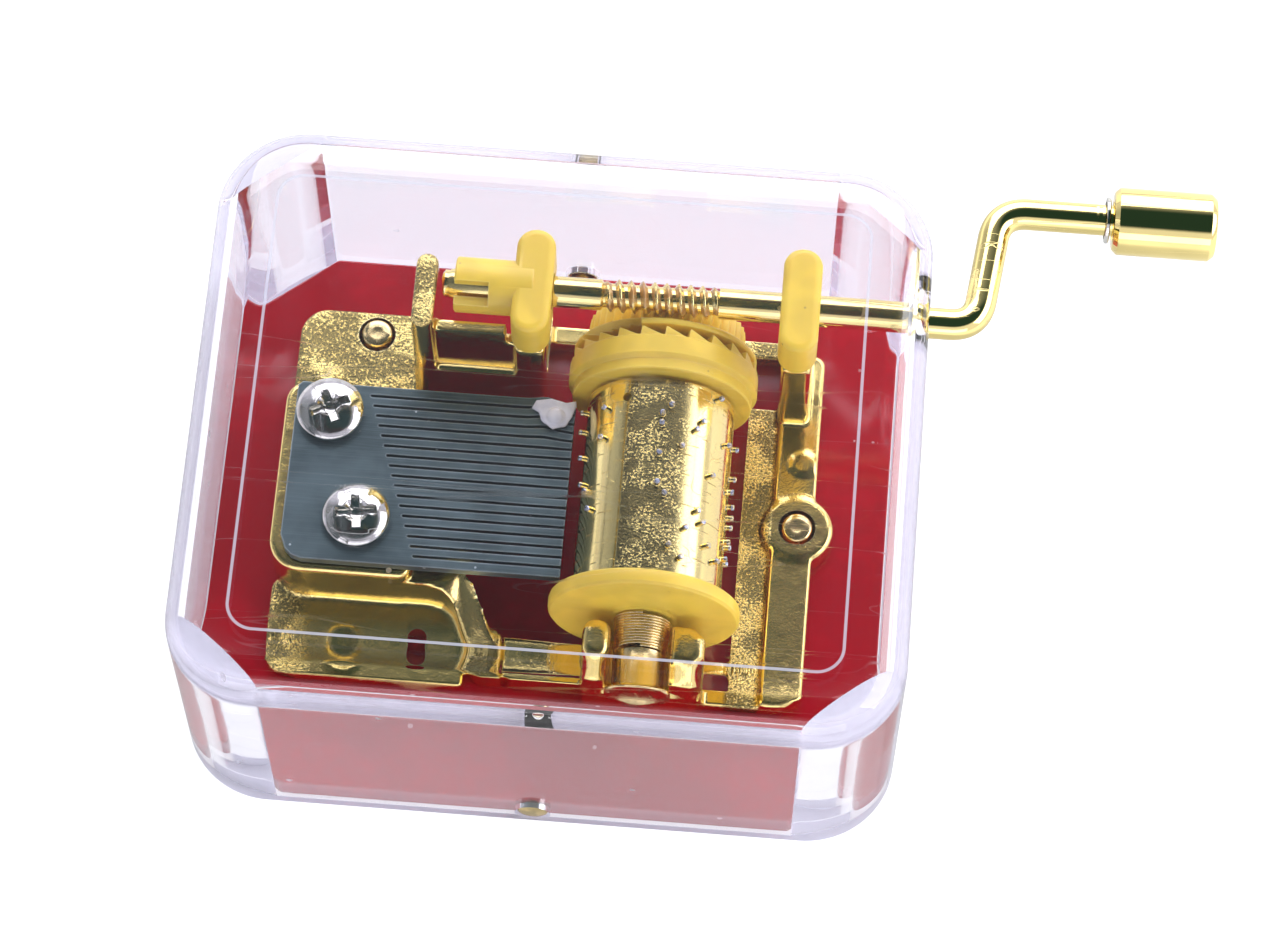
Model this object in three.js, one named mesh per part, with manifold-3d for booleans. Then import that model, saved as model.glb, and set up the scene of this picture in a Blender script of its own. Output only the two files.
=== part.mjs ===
// Hand-cranked 18-note music box in a clear case, as an assembly of separate pieces.
// Units are millimetres. The origin is at the middle of the underside of the base plate,
// +X points to the crank handle, +Y to the back and +Z up.

import * as THREE from 'three';
import { mergeVertices } from 'three/addons/utils/BufferGeometryUtils.js';
import Module from 'manifold-3d';

const wasm = await Module();
wasm.setup();

// Clearance between neighbouring pieces that touch on the real object.
const GAP = 0.3;

// Clear case
const CASE_W = 64;
const CASE_D = 54.6;
const CASE_H = 28;
const CASE_CORNER_R = 8;
const CASE_EDGE_W = 5.65;
const CASE_EDGE_H = 4.1;
const WALL = 1.8;
const CORNER_LEG_X = 7;
const CORNER_LEG_Y = 5.6;
const CRANK_HOLE_R = 3.9;
// The cavity's rounded top edge, as [step in from the wall, height].
const INNER_EDGE = [[0, -1], [0, 24.3], [0.25, 25.12], [0.85, 25.6], [1.5, 25.85], [2.3, 26]];

// Base plate and the pins that hold the case to it
const BASE_H = 3;
const PIN_Z = 1.95;
const PIN_HEAD_R = 1.42;
const PIN_SHANK_R = 0.7;
const PIN_SHANK_L = 4;

// Screws that hold the bed frame on the base plate, driven from below
const MOUNT_SCREWS = { left: [-18.2, 16.3], right: [21.75, 0.1] };
const MOUNT_SHANK_R = 1.4;
const MOUNT_HEAD_R = 2.6;
const MOUNT_HEAD_H = 1.4;
const COUNTERBORE_R = 2.95;
const COUNTERBORE_H = 2;
const MOUNT_TIP_Z = 6.6;

// Bed frame
const FLOOR_Z = BASE_H + GAP;
const SHELF_Z = 5;
const LUG_Z = 6.2;
const PEDESTAL_Z = 11.2;
const FORK_Z = 17.5;
const END_POST_Z = 22.5;
const BED_X0 = -25.3;
const BED_X1 = 23.3;
const BED_FRONT_Y = -16;
const RAIL_X0 = 19.4;
const BAR_REAR_Y = 12.2;
const REAR_BAR = [17.3, 19];
const EAR_LEFT_Z = 14.4;
const EAR_RIGHT_Z = 14;
const CRADLE_Z = 9;
const CRADLE_FRONT_Y = -17;
const CRADLE_REAR_Y = -13.1;
const BUSH_ROOM = 2.65;
const FORK_HALF_W = 1.35;
const BOSS_R = 3.3;
const PAD_HOLE = [-11.65, -12.85];
const PAD_HOLE_R = 0.85;

// Comb
const NOTES = 18;
const COMB_Z = PEDESTAL_Z + GAP;
const COMB_T = 1;
const COMB_X0 = -24.2;
const COMB_X1 = 1;
const COMB_Y0 = -8.95;
const COMB_Y1 = 8.25;
const PITCH = (COMB_Y1 - COMB_Y0) / NOTES;
const SLIT_W = 0.25;
const SLIT_ROOT_BASS = -17.6;
const SLIT_ROOT_TREBLE = -12.3;
const WEIGHTED_TEETH = 9;
const COMB_SCREWS = { rear: [-21, 5.4], front: [-17.6, -4.65] };
const COMB_HEAD_R = 3.05;
const COMB_HEAD_H = 1.5;
const COMB_SHANK_R = 1.3;

// Cylinder group, turning about a line along Y
const AXIS_X = 8.7;
const AXIS_Z = 12;
const SHELL_R = 6.7;
const SHELL_T = 0.5;
const SHELL_Y0 = -10.3;
const SHELL_Y1 = 8.45;
const NIB_H = 0.6;
const NIB_W = 0.4;
const DISC_R = 8.55;
const ARBOR_R = 1.1;
const RATCHET_TEETH = 24;
const RATCHET_H = 0.85;

// Crank shaft, turning about a line along X, and its worm
const SHAFT_Y = 15.3;
const SHAFT_Z = 20.4;
const ROD_R = 1.4;
const ROD_END_X = -11.55;
const WHEEL_TEETH = 42;
const WHEEL_PITCH_R = 7.15;
const WORM_PITCH = (2 * Math.PI * WHEEL_PITCH_R) / WHEEL_TEETH;
const WORM_CORE_R = 1.1;
const WORM_THREAD_R = 0.25;
const WORM_TURNS = 9.5;
const WORM_X0 = AXIS_X - 5.25 * WORM_PITCH;
const HANDLE_OFFSET = 11.5;
const KNOB_R = 3.05;
const KNOB_X0 = 48.05;
const KNOB_X1 = 57.3;

// Bushings
const BUSH_HALF_L = 5.1;
const BUSH_Z0 = FORK_Z + GAP;
const BUSH_Z1 = 22.7;
const BUSH_W = 3.5;
const LEFT_BUSH_X = -3.35;
const RIGHT_BUSH_X = 20.55;

const ROUND = 24;

const finish = (color, roughness, metalness, opacity = 1) => new THREE.MeshStandardMaterial({
  color, roughness, metalness, opacity, transparent: opacity < 1,
});

const clearPlastic = finish(0xe8e4f4, 0.05, 0, 0.3);
const redPlastic = finish(0xa80012, 0.3, 0);
const goldPlate = finish(0xd8b548, 0.2, 1);
const brass = finish(0xe2c45a, 0.25, 1);
const blueSteel = finish(0x5c6e72, 0.4, 0.9);
const nickel = finish(0xb8bab4, 0.15, 1);
const nylon = finish(0xe0b63a, 0.45, 0);
const whiteFilm = finish(0xe6e6ee, 0.5, 0);

// ---- Solids ---------------------------------------------------------------------------

// A closed three.js geometry as a solid that can be joined and cut.
function solid(geometry) {
  const bare = geometry.index ? geometry.toNonIndexed() : geometry.clone();
  bare.deleteAttribute('normal');
  bare.deleteAttribute('uv');
  const merged = mergeVertices(bare, 1e-4);
  const index = merged.index.array;
  const kept = [];
  for (let i = 0; i < index.length; i += 3) {
    const [a, b, c] = index.slice(i, i + 3);
    if (a !== b && b !== c && c !== a) kept.push(a, b, c);
  }
  return new wasm.Manifold(new wasm.Mesh({
    numProp: 3,
    vertProperties: new Float32Array(merged.attributes.position.array),
    triVerts: new Uint32Array(kept),
  }));
}

function joined(solids) {
  return solids.reduce((sum, next) => sum.add(next));
}

// A solid as a named mesh.
function piece(name, body, material) {
  const { vertProperties, triVerts } = body.getMesh();
  const geometry = new THREE.BufferGeometry();
  geometry.setAttribute('position', new THREE.BufferAttribute(new Float32Array(vertProperties), 3));
  geometry.setIndex(new THREE.BufferAttribute(new Uint32Array(triVerts), 1));
  geometry.computeVertexNormals();
  const mesh = new THREE.Mesh(geometry, material);
  mesh.name = name;
  return mesh;
}

function box([x0, x1], [y0, y1], [z0, z1]) {
  const geometry = new THREE.BoxGeometry(x1 - x0, y1 - y0, z1 - z0);
  return solid(geometry.translate((x0 + x1) / 2, (y0 + y1) / 2, (z0 + z1) / 2));
}

// An outline in the XY plane, raised from z0 to z1.
function prism(shape, z0, z1, curveSegments = 3) {
  const geometry = new THREE.ExtrudeGeometry(shape, { depth: z1 - z0, bevelEnabled: false, curveSegments });
  return solid(geometry.translate(0, 0, z0));
}

function polygon(points) {
  return new THREE.Shape(points.map(([x, y]) => new THREE.Vector2(x, y)));
}

function roundedRect(x0, x1, y0, y1, r) {
  const shape = new THREE.Shape();
  shape.moveTo(x0 + r, y0).lineTo(x1 - r, y0).absarc(x1 - r, y0 + r, r, -Math.PI / 2, 0);
  shape.lineTo(x1, y1 - r).absarc(x1 - r, y1 - r, r, 0, Math.PI / 2);
  shape.lineTo(x0 + r, y1).absarc(x0 + r, y1 - r, r, Math.PI / 2, Math.PI);
  shape.lineTo(x0, y0 + r).absarc(x0 + r, y0 + r, r, Math.PI, 1.5 * Math.PI);
  return shape;
}

// A rectangle about the origin whose four corners are cut off by straight lines.
function cutCornerRect(halfX, halfY, legX, legY) {
  const points = [];
  for (const [sx, sy] of [[1, -1], [1, 1], [-1, 1], [-1, -1]]) {
    const onX = [sx * halfX, sy * (halfY - legY)];
    const onY = [sx * (halfX - legX), sy * halfY];
    points.push(...(sx * sy < 0 ? [onY, onX] : [onX, onY]));
  }
  return polygon(points);
}

// A profile of [radius, distance] pairs turned about a line along Y.
function turned(profile, segments = ROUND) {
  return solid(new THREE.LatheGeometry(profile.map(([r, y]) => new THREE.Vector2(r, y)), segments));
}

function rodAlongY(r, y0, y1, segments = ROUND) {
  return turned([[0, y0], [r, y0], [r, y1], [0, y1]], segments);
}

const alongX = (body) => body.rotate([0, 0, -90]);
const alongZ = (body) => body.rotate([90, 0, 0]);

function rodAlongX(r, x0, x1, segments = ROUND) {
  return alongX(rodAlongY(r, x0, x1, segments));
}

function rodAlongZ(r, z0, z1, segments = ROUND) {
  return alongZ(rodAlongY(r, z0, z1, segments));
}

// ---- Case and base --------------------------------------------------------------------

function clearLid() {
  const outline = roundedRect(-CASE_W / 2, CASE_W / 2, -CASE_D / 2, CASE_D / 2, CASE_CORNER_R);
  const block = new THREE.ExtrudeGeometry(outline, {
    depth: CASE_H,
    curveSegments: 4,
    bevelThickness: CASE_EDGE_H,
    bevelSize: CASE_EDGE_W,
    bevelOffset: -CASE_EDGE_W,
    bevelSegments: 3,
  });
  const lowered = solid(block).translate([0, 0, -CASE_EDGE_H]);
  const outer = lowered.subtract(box([-CASE_W, CASE_W], [-CASE_D, CASE_D], [-CASE_H, 0]));
  const halfX = CASE_W / 2 - WALL;
  const halfY = CASE_D / 2 - WALL;
  const corners = INNER_EDGE.flatMap(([step, z]) => [[-1, -1], [1, -1], [1, 1], [-1, 1]].map(
    ([sx, sy]) => [sx * (halfX - step), sy * (halfY - step), z],
  ));
  const hollow = wasm.Manifold.hull(corners)
    .intersect(prism(cutCornerRect(halfX, halfY, CORNER_LEG_X, CORNER_LEG_Y), -1, CASE_H));
  const crankHole = rodAlongX(CRANK_HOLE_R, CASE_W / 2 - 2 * WALL, CASE_W / 2 + 1)
    .translate([0, SHAFT_Y, SHAFT_Z]);
  const pinHoles = rodAlongY(PIN_HEAD_R + GAP, -CASE_D, CASE_D, 16).translate([0, 0, PIN_Z]);
  return outer.subtract(hollow).subtract(crankHole).subtract(pinHoles);
}

function basePlate() {
  const halfX = CASE_W / 2 - WALL - GAP;
  const halfY = CASE_D / 2 - WALL - GAP;
  const plate = prism(cutCornerRect(halfX, halfY, CORNER_LEG_X, CORNER_LEG_Y), 0, BASE_H);
  const cuts = [];
  for (const [x, y] of Object.values(MOUNT_SCREWS)) {
    cuts.push(rodAlongZ(MOUNT_SHANK_R + GAP, -1, BASE_H + 1, 16).translate([x, y, 0]));
    cuts.push(rodAlongZ(COUNTERBORE_R, -1, COUNTERBORE_H).translate([x, y, 0]));
  }
  for (const side of [-1, 1]) {
    const ends = [side * (halfY - PIN_SHANK_L), side * (halfY + 1)].sort((a, b) => a - b);
    cuts.push(rodAlongY(PIN_SHANK_R + GAP, ends[0], ends[1], 12).translate([0, 0, PIN_Z]));
  }
  return cuts.reduce((rest, cut) => rest.subtract(cut), plate);
}

// A domed pin that goes through the wall into the edge of the base plate; side is -1 or 1.
function casePin(side) {
  const face = CASE_D / 2;
  const inner = face - WALL - GAP;
  const profile = [
    [0, inner - PIN_SHANK_L + 2 * GAP],
    [PIN_SHANK_R, inner - PIN_SHANK_L + 2 * GAP],
    [PIN_SHANK_R, face - WALL],
    [PIN_HEAD_R, face - WALL],
    [PIN_HEAD_R, face - 0.3],
    [0.8, face - 0.05],
    [0, face],
  ];
  const pin = turned(profile, 16);
  return (side < 0 ? pin.rotate([0, 0, 180]) : pin).translate([0, 0, PIN_Z]);
}

function mountingScrew([x, y]) {
  const profile = [
    [0, GAP],
    [MOUNT_HEAD_R, GAP],
    [MOUNT_HEAD_R, GAP + MOUNT_HEAD_H],
    [MOUNT_SHANK_R, GAP + MOUNT_HEAD_H],
    [MOUNT_SHANK_R, MOUNT_TIP_Z - 0.2],
    [MOUNT_SHANK_R - 0.3, MOUNT_TIP_Z],
    [0, MOUNT_TIP_Z],
  ];
  return alongZ(turned(profile, 20)).translate([x, y, 0]);
}

// ---- Bed frame ------------------------------------------------------------------------

// A fork that carries a bushing: two arms with a saddle between them.
function fork(x) {
  const across = [x - FORK_HALF_W, x + FORK_HALF_W];
  const outer = BUSH_HALF_L - 0.3;
  const inner = outer - 2;
  return joined([
    box(across, [SHAFT_Y - outer, SHAFT_Y - inner], [FLOOR_Z, FORK_Z]),
    box(across, [SHAFT_Y + inner, SHAFT_Y + outer], [FLOOR_Z, FORK_Z]),
    box(across, [SHAFT_Y - inner - 1, SHAFT_Y + inner + 1], [FLOOR_Z, CRADLE_Z]),
  ]);
}

function combPedestal() {
  const block = prism(roundedRect(BED_X0, -12.4, -9.6, 9, 2.4), FLOOR_Z, PEDESTAL_Z);
  const step = prism(roundedRect(-16, -8.2, -10.9, -7.4, 1.6), FLOOR_Z, CRADLE_Z);
  return joined([block, step]);
}

// The cradle at the front that holds the bearing bush between two ears.
function frontCradle() {
  const left = AXIS_X - BUSH_ROOM;
  const right = AXIS_X + BUSH_ROOM;
  const block = box([3.5, 14], [CRADLE_FRONT_Y, CRADLE_REAR_Y], [FLOOR_Z, CRADLE_Z]);
  const leftEar = prism(roundedRect(3.5, left, CRADLE_FRONT_Y, CRADLE_REAR_Y, 1), FLOOR_Z, EAR_LEFT_Z);
  const rightEar = prism(polygon([
    [right, CRADLE_FRONT_Y + 0.3], [13.4, CRADLE_FRONT_Y], [14.4, CRADLE_FRONT_Y + 1], [14.4, CRADLE_REAR_Y - 1],
    [13.2, CRADLE_REAR_Y], [right, CRADLE_REAR_Y],
  ]), FLOOR_Z, EAR_RIGHT_Z);
  return joined([block, leftEar, rightEar]);
}

function bedFrame() {
  const parts = [
    prism(roundedRect(BED_X0, -14.2, 6, 18.6, 2), FLOOR_Z, LUG_Z),
    combPedestal(),
    prism(roundedRect(BED_X0, -7.2, BED_FRONT_Y, -8, 1.8), FLOOR_Z, SHELF_Z),
    prism(polygon([
      [-10, -9], [-6.2, -9], [-4, -12.4], [4, -12.7], [4, BED_FRONT_Y + 0.8], [-8, BED_FRONT_Y + 0.8],
    ]), FLOOR_Z, LUG_Z),
    frontCradle(),
    prism(roundedRect(13, BED_X1, BED_FRONT_Y, -12.8, 1.4), FLOOR_Z, SHELF_Z),
    prism(roundedRect(RAIL_X0, BED_X1, BED_FRONT_Y, 17.5, 1.2), FLOOR_Z, LUG_Z),
    box([16.6, RAIL_X0 + 0.6], [BED_FRONT_Y + 1, BAR_REAR_Y], [FLOOR_Z, SHELF_Z]),
    rodAlongZ(BOSS_R, FLOOR_Z, LUG_Z + 0.2).translate([...MOUNT_SCREWS.right, 0]),
    fork(LEFT_BUSH_X),
    fork(RIGHT_BUSH_X),
    box([-14, -3.6], [11.2, BAR_REAR_Y], [FLOOR_Z, FORK_Z]),
    box([-14, -5.5], [11.2, BAR_REAR_Y], [FORK_Z - 0.1, 19.4]),
    box([-14, -3.6], [10.6, BAR_REAR_Y], [FLOOR_Z, AXIS_Z]),
    prism(roundedRect(-13.9, -11.9, 10.1, 17.3, 0.95), FLOOR_Z, END_POST_Z),
    box([-15.5, -12.5], [10.5, 13], [FLOOR_Z, LUG_Z]),
    box([-4, 20], REAR_BAR, [FLOOR_Z, SHELF_Z]),
    box([AXIS_X - BUSH_ROOM, AXIS_X + BUSH_ROOM], REAR_BAR, [FLOOR_Z, EAR_LEFT_Z]),
  ];
  const cuts = [
    rodAlongY(ARBOR_R + GAP, 16, 20, 16).translate([AXIS_X, 0, AXIS_Z]),
    rodAlongZ(PAD_HOLE_R, 0, SHELF_Z + 1, 12).translate([...PAD_HOLE, 0]),
  ];
  for (const [x, y] of Object.values(MOUNT_SCREWS)) {
    cuts.push(rodAlongZ(MOUNT_SHANK_R + GAP, 0, LUG_Z + 1, 20).translate([x, y, 0]));
  }
  for (const [x, y] of Object.values(COMB_SCREWS)) {
    cuts.push(rodAlongZ(COMB_SHANK_R + GAP, SHELF_Z, PEDESTAL_Z + 1, 16).translate([x, y, 0]));
  }
  return cuts.reduce((rest, cut) => rest.subtract(cut), joined(parts));
}

// ---- Comb -----------------------------------------------------------------------------

const toothY = (note) => COMB_Y0 + (note + 0.5) * PITCH;

function comb() {
  const plate = prism(polygon([
    [COMB_X0 + 2, COMB_Y0], [COMB_X1, COMB_Y0], [COMB_X1, COMB_Y1], [COMB_X0, COMB_Y1], [COMB_X0, COMB_Y0 + 2.4],
  ]), COMB_Z, COMB_Z + COMB_T);
  const slits = [];
  for (let k = 1; k < NOTES; k += 1) {
    const share = (k - 1) / (NOTES - 2);
    const root = SLIT_ROOT_TREBLE + share * (SLIT_ROOT_BASS - SLIT_ROOT_TREBLE);
    const y = COMB_Y0 + k * PITCH;
    slits.push(box([root, COMB_X1 + 1], [y - SLIT_W / 2, y + SLIT_W / 2], [COMB_Z - 1, COMB_Z + COMB_T + 1]));
  }
  const holes = Object.values(COMB_SCREWS).map(([x, y]) => (
    rodAlongZ(COMB_SHANK_R + GAP, COMB_Z - 1, COMB_Z + COMB_T + 1, 16).translate([x, y, 0])
  ));
  // Lead under the long bass teeth tunes them down.
  const weights = [];
  for (let note = NOTES - WEIGHTED_TEETH; note < NOTES; note += 1) {
    const y = toothY(note);
    weights.push(box([-3.6, -0.4], [y - 0.3, y + 0.3], [COMB_Z - 1.7, COMB_Z + 0.1]));
  }
  const cut = [...slits, ...holes].reduce((rest, next) => rest.subtract(next), plate);
  return joined([cut, ...weights]);
}

function combScrew([x, y]) {
  const seat = COMB_Z + COMB_T + GAP;
  const profile = [
    [0, SHELF_Z + GAP],
    [COMB_SHANK_R, SHELF_Z + GAP],
    [COMB_SHANK_R, seat],
    [COMB_HEAD_R, seat],
    [COMB_HEAD_R, seat + 0.5],
    [COMB_HEAD_R * 0.7, seat + COMB_HEAD_H * 0.85],
    [0, seat + COMB_HEAD_H],
  ];
  const slotL = COMB_HEAD_R * 1.2;
  const slotZ = [seat + COMB_HEAD_H - 0.7, seat + COMB_HEAD_H + 1];
  const cross = joined([box([-slotL / 2, slotL / 2], [-0.4, 0.4], slotZ), box([-0.4, 0.4], [-slotL, slotL], slotZ)]);
  return alongZ(turned(profile)).subtract(cross.rotate([0, 0, 20])).translate([x, y, 0]);
}

// A scrap of film with a drop of glue over the tips of the last bass teeth.
function damperFilm() {
  const z = COMB_Z + COMB_T + GAP;
  const film = prism(polygon([[-2.4, 6.6], [-0.3, 5.6], [0.7, 6.3], [1.1, 8.1], [-1.6, 8.2]]), z, z + 0.2);
  const drop = alongZ(turned([[0, z], [0.8, z], [0.55, z + 0.45], [0, z + 0.6]], 12)).translate([-0.6, 6.2, 0]);
  return joined([film, drop]);
}

// ---- Cylinder group, about its own axis ---------------------------------------------------

// The tune: each note is [tooth counted from the front, degrees from the top towards +X].
const TUNE = [
  [15, -44], [12, -45], [15, 9], [14, 3], [13, 3], [10, 3], [7, 3], [17, 50], [14, 35], [13, 30],
  [11, 19], [9, 47], [13, 65], [14, 91], [11, 92], [16, -80], [14, -80], [11, -73], [8, -67],
  [7, -59], [5, -53], [6, 9], [5, 36], [4, 41], [3, 27], [1, 15], [0, 25], [2, 48], [1, 60],
  [2, 75], [4, 80], [4, 91], [9, 79], [8, 89], [7, 91], [6, 91],
];
const HIDDEN_NOTES = 12;
for (let k = 0; k < HIDDEN_NOTES; k += 1) TUNE.push([(7 * k + 3) % NOTES, 104 + 13 * k]);

function cylinderShell() {
  const inner = SHELL_R - SHELL_T;
  const tube = turned([
    [inner, SHELL_Y0], [SHELL_R, SHELL_Y0], [SHELL_R, SHELL_Y1], [inner, SHELL_Y1], [inner, SHELL_Y0],
  ], 36);
  const nib = box([-NIB_W / 2, NIB_W / 2], [-NIB_W / 2, NIB_W / 2], [SHELL_R - 0.3, SHELL_R + NIB_H]);
  const nibs = TUNE.map(([note, degrees]) => nib.rotate([0, degrees, 0]).translate([0, toothY(note), 0]));
  return joined([tube, ...nibs]);
}

function boredDisc(profile) {
  return turned(profile, 36).subtract(rodAlongY(ARBOR_R + GAP, -40, 40, 16));
}

const PLUG_R = SHELL_R - SHELL_T - GAP;

// The rear cap ends in a ring of face teeth, which the wheel's pawl drives one way only.
function rearEndCap() {
  const face = SHELL_Y1 + GAP;
  const ring = face + 3.15;
  const body = boredDisc([
    [0, face - 3], [PLUG_R, face - 3], [PLUG_R, face], [8.1, face], [8.1, face + 1.1],
    [DISC_R, face + 1.3], [DISC_R, ring], [0, ring],
  ]);
  const width = (1.2 * Math.PI * DISC_R) / RATCHET_TEETH;
  const outline = polygon([[0, -0.2], [width, -0.2], [0, RATCHET_H]]);
  const tooth = prism(outline, 7.2, DISC_R - 0.1).translate([0, ring, 0]);
  const teeth = [];
  for (let k = 0; k < RATCHET_TEETH; k += 1) teeth.push(tooth.rotate([0, (k * 360) / RATCHET_TEETH, 0]));
  return joined([body, ...teeth]);
}

function frontEndCap() {
  const face = SHELL_Y0 - GAP;
  return boredDisc([
    [0, face - 1.6], [8.1, face - 1.6], [DISC_R, face - 1.3], [DISC_R, face - 0.3],
    [DISC_R - 0.3, face], [PLUG_R, face], [PLUG_R, face + 3], [0, face + 3],
  ]);
}

// The worm wheel, with the disc in front of it that carries the pawl.
function wormWheel() {
  const discY = 13;
  const front = 13.6;
  const back = 16.4;
  const tipR = WHEEL_PITCH_R;
  const rootR = tipR - 0.7;
  const step = (2 * Math.PI) / WHEEL_TEETH;
  const tipHalf = 0.1 / tipR;
  const rootHalf = 0.26 / rootR;
  const outline = [];
  for (let k = 0; k < WHEEL_TEETH; k += 1) {
    for (const [r, turn] of [[rootR, -rootHalf], [tipR, -tipHalf], [tipR, tipHalf], [rootR, rootHalf]]) {
      const a = Math.PI / 2 - (k * step + turn);
      outline.push([r * Math.cos(a), r * Math.sin(a)]);
    }
  }
  const toothed = prism(polygon(outline), -back, -front).rotate([90, 0, 0]);
  const disc = rodAlongY(8.3, discY, front + 0.05, 36);
  const notch = box([-12, -2.2], [discY - 1, front], [3.4, 12]);
  const bore = rodAlongY(ARBOR_R + GAP, 0, 20, 16);
  return joined([toothed, disc.subtract(notch)]).subtract(bore);
}

function cylinderArbor() {
  return turned([[0, -16.9], [ARBOR_R, -16.9], [ARBOR_R, 18.6], [0, 18.6]], 16);
}

// The coil spring in front, as the ribbed sleeve that its close coils fill.
function thrustSpring() {
  const y0 = -15.3;
  const y1 = -12.5;
  const coils = 7;
  const wire = (y1 - y0) / coils;
  const profile = [[1.75, y0]];
  for (let k = 0; k < coils; k += 1) {
    const r = 2.3 + (0.35 * k) / coils;
    profile.push([r - 0.2, y0 + k * wire], [r, y0 + (k + 0.5) * wire]);
  }
  profile.push([2.45, y1], [1.75, y1], [1.75, y0]);
  return turned(profile, 20);
}

function frontBearingBush() {
  return turned([
    [0, -18.4], [2.2, -18.6], [2.95, -18.6], [2.95, -18.2], [2.3, -17.7], [2.3, -15.7],
    [ARBOR_R + 0.35, -15.7], [ARBOR_R + 0.35, -17.3], [0, -17.3],
  ], 20);
}

// ---- Crank, about the shaft's axis ----------------------------------------------------------

class Helix extends THREE.Curve {
  getPoint(t, target = new THREE.Vector3()) {
    const a = 2 * Math.PI * WORM_TURNS * t;
    const r = WORM_CORE_R + 0.15;
    return target.set(WORM_X0 + WORM_PITCH * WORM_TURNS * t, r * Math.cos(a), r * Math.sin(a));
  }
}

function swept(radius, halfSides, path, steps) {
  const section = new THREE.Shape();
  section.absarc(0, 0, radius, 0, 2 * Math.PI);
  return solid(new THREE.ExtrudeGeometry(section, {
    steps, curveSegments: halfSides, extrudePath: path, bevelEnabled: false,
  }));
}

// The bent rod, from the worm's end to the handle's spindle.
function crankPath() {
  const at = (x, y) => new THREE.Vector3(x, y, 0);
  const path = new THREE.CurvePath();
  path.add(new THREE.LineCurve3(at(13.4, 0), at(33.9, 0)));
  path.add(new THREE.QuadraticBezierCurve3(at(33.9, 0), at(36.2, 0), at(36.6, 2.3)));
  path.add(new THREE.LineCurve3(at(36.6, 2.3), at(37.4, HANDLE_OFFSET - 2.6)));
  path.add(new THREE.QuadraticBezierCurve3(
    at(37.4, HANDLE_OFFSET - 2.6), at(37.8, HANDLE_OFFSET), at(40.4, HANDLE_OFFSET),
  ));
  path.add(new THREE.LineCurve3(at(40.4, HANDLE_OFFSET), at(KNOB_X0 + GAP, HANDLE_OFFSET)));
  return path;
}

function crankRod() {
  const wormEnd = 13.5;
  const left = alongX(turned([
    [0, ROD_END_X], [0.8, ROD_END_X], [ROD_R, ROD_END_X + 0.5], [ROD_R, 2.7], [0, 2.7],
  ], 16));
  const core = rodAlongX(WORM_CORE_R, 2.6, wormEnd, 16);
  const thread = swept(WORM_THREAD_R, 3, new Helix(), 10 * WORM_TURNS);
  const bent = swept(ROD_R, 6, crankPath(), 44);
  const spindle = rodAlongX(0.9, KNOB_X0, KNOB_X1 - 1.9, 12).translate([0, HANDLE_OFFSET, 0]);
  return joined([left, core, thread, bent, spindle]);
}

function knobWasher() {
  const x0 = KNOB_X0 - GAP - 0.4;
  const inner = ROD_R + GAP;
  return alongX(turned([[inner, x0], [2.1, x0], [2.1, x0 + 0.4], [inner, x0 + 0.4], [inner, x0]], 20));
}

function crankKnob() {
  const bore = ROD_R + GAP;
  const bevel = 0.5;
  return alongX(turned([
    [bore, KNOB_X0], [KNOB_R - bevel, KNOB_X0], [KNOB_R, KNOB_X0 + bevel], [KNOB_R, KNOB_X1 - bevel],
    [KNOB_R - bevel, KNOB_X1], [0, KNOB_X1], [0, KNOB_X1 - 1.5], [bore, KNOB_X1 - 1.5], [bore, KNOB_X0],
  ], 28));
}

// ---- Bushings -------------------------------------------------------------------------

// A nylon cap with round ends that sits on a fork; a sleeve may reach out along the shaft.
function bushing(x, sleeve) {
  const half = BUSH_W / 2;
  const cap = (inset, z0, z1) => prism(roundedRect(
    x - half + inset, x + half - inset, SHAFT_Y - BUSH_HALF_L + inset, SHAFT_Y + BUSH_HALF_L - inset,
    half - inset - 0.05,
  ), z0, z1);
  const parts = [cap(0, BUSH_Z0, BUSH_Z1 - 0.5), cap(0.5, BUSH_Z1 - 0.6, BUSH_Z1)];
  if (sleeve) parts.push(rodAlongX(2.5, x - sleeve, x).translate([0, SHAFT_Y, SHAFT_Z]));
  const bore = rodAlongX(ROD_R + GAP, x - 12, x + 12, 16).translate([0, SHAFT_Y, SHAFT_Z]);
  return joined(parts).subtract(bore);
}

// ---- Assembly -------------------------------------------------------------------------

const musicBox = new THREE.Group();
musicBox.add(piece('clear_lid', clearLid(), clearPlastic));
musicBox.add(piece('base_plate', basePlate(), redPlastic));
musicBox.add(piece('front_case_pin', casePin(-1), brass));
musicBox.add(piece('back_case_pin', casePin(1), brass));
for (const [side, place] of Object.entries(MOUNT_SCREWS)) {
  musicBox.add(piece(`mounting_screw_${side}`, mountingScrew(place), brass));
}

const movement = new THREE.Group();
musicBox.add(movement);
movement.add(piece('bed_frame', bedFrame(), goldPlate));
movement.add(piece('comb', comb(), blueSteel));
for (const [end, place] of Object.entries(COMB_SCREWS)) {
  movement.add(piece(`comb_screw_${end}`, combScrew(place), nickel));
}
movement.add(piece('damper_film', damperFilm(), whiteFilm));
movement.add(piece('left_bushing', bushing(LEFT_BUSH_X, 7), nylon));
movement.add(piece('right_bushing', bushing(RIGHT_BUSH_X, 0), nylon));

const cylinder = new THREE.Group();
cylinder.position.set(AXIS_X, 0, AXIS_Z);
movement.add(cylinder);
cylinder.add(piece('cylinder_shell', cylinderShell(), brass));
cylinder.add(piece('rear_end_cap', rearEndCap(), nylon));
cylinder.add(piece('front_end_cap', frontEndCap(), nylon));
cylinder.add(piece('worm_wheel', wormWheel(), nylon));
cylinder.add(piece('cylinder_arbor', cylinderArbor(), nickel));
cylinder.add(piece('thrust_spring', thrustSpring(), brass));
cylinder.add(piece('front_bearing_bush', frontBearingBush(), brass));

const crank = new THREE.Group();
crank.position.set(0, SHAFT_Y, SHAFT_Z);
movement.add(crank);
crank.add(piece('crank_rod', crankRod(), goldPlate));

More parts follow.
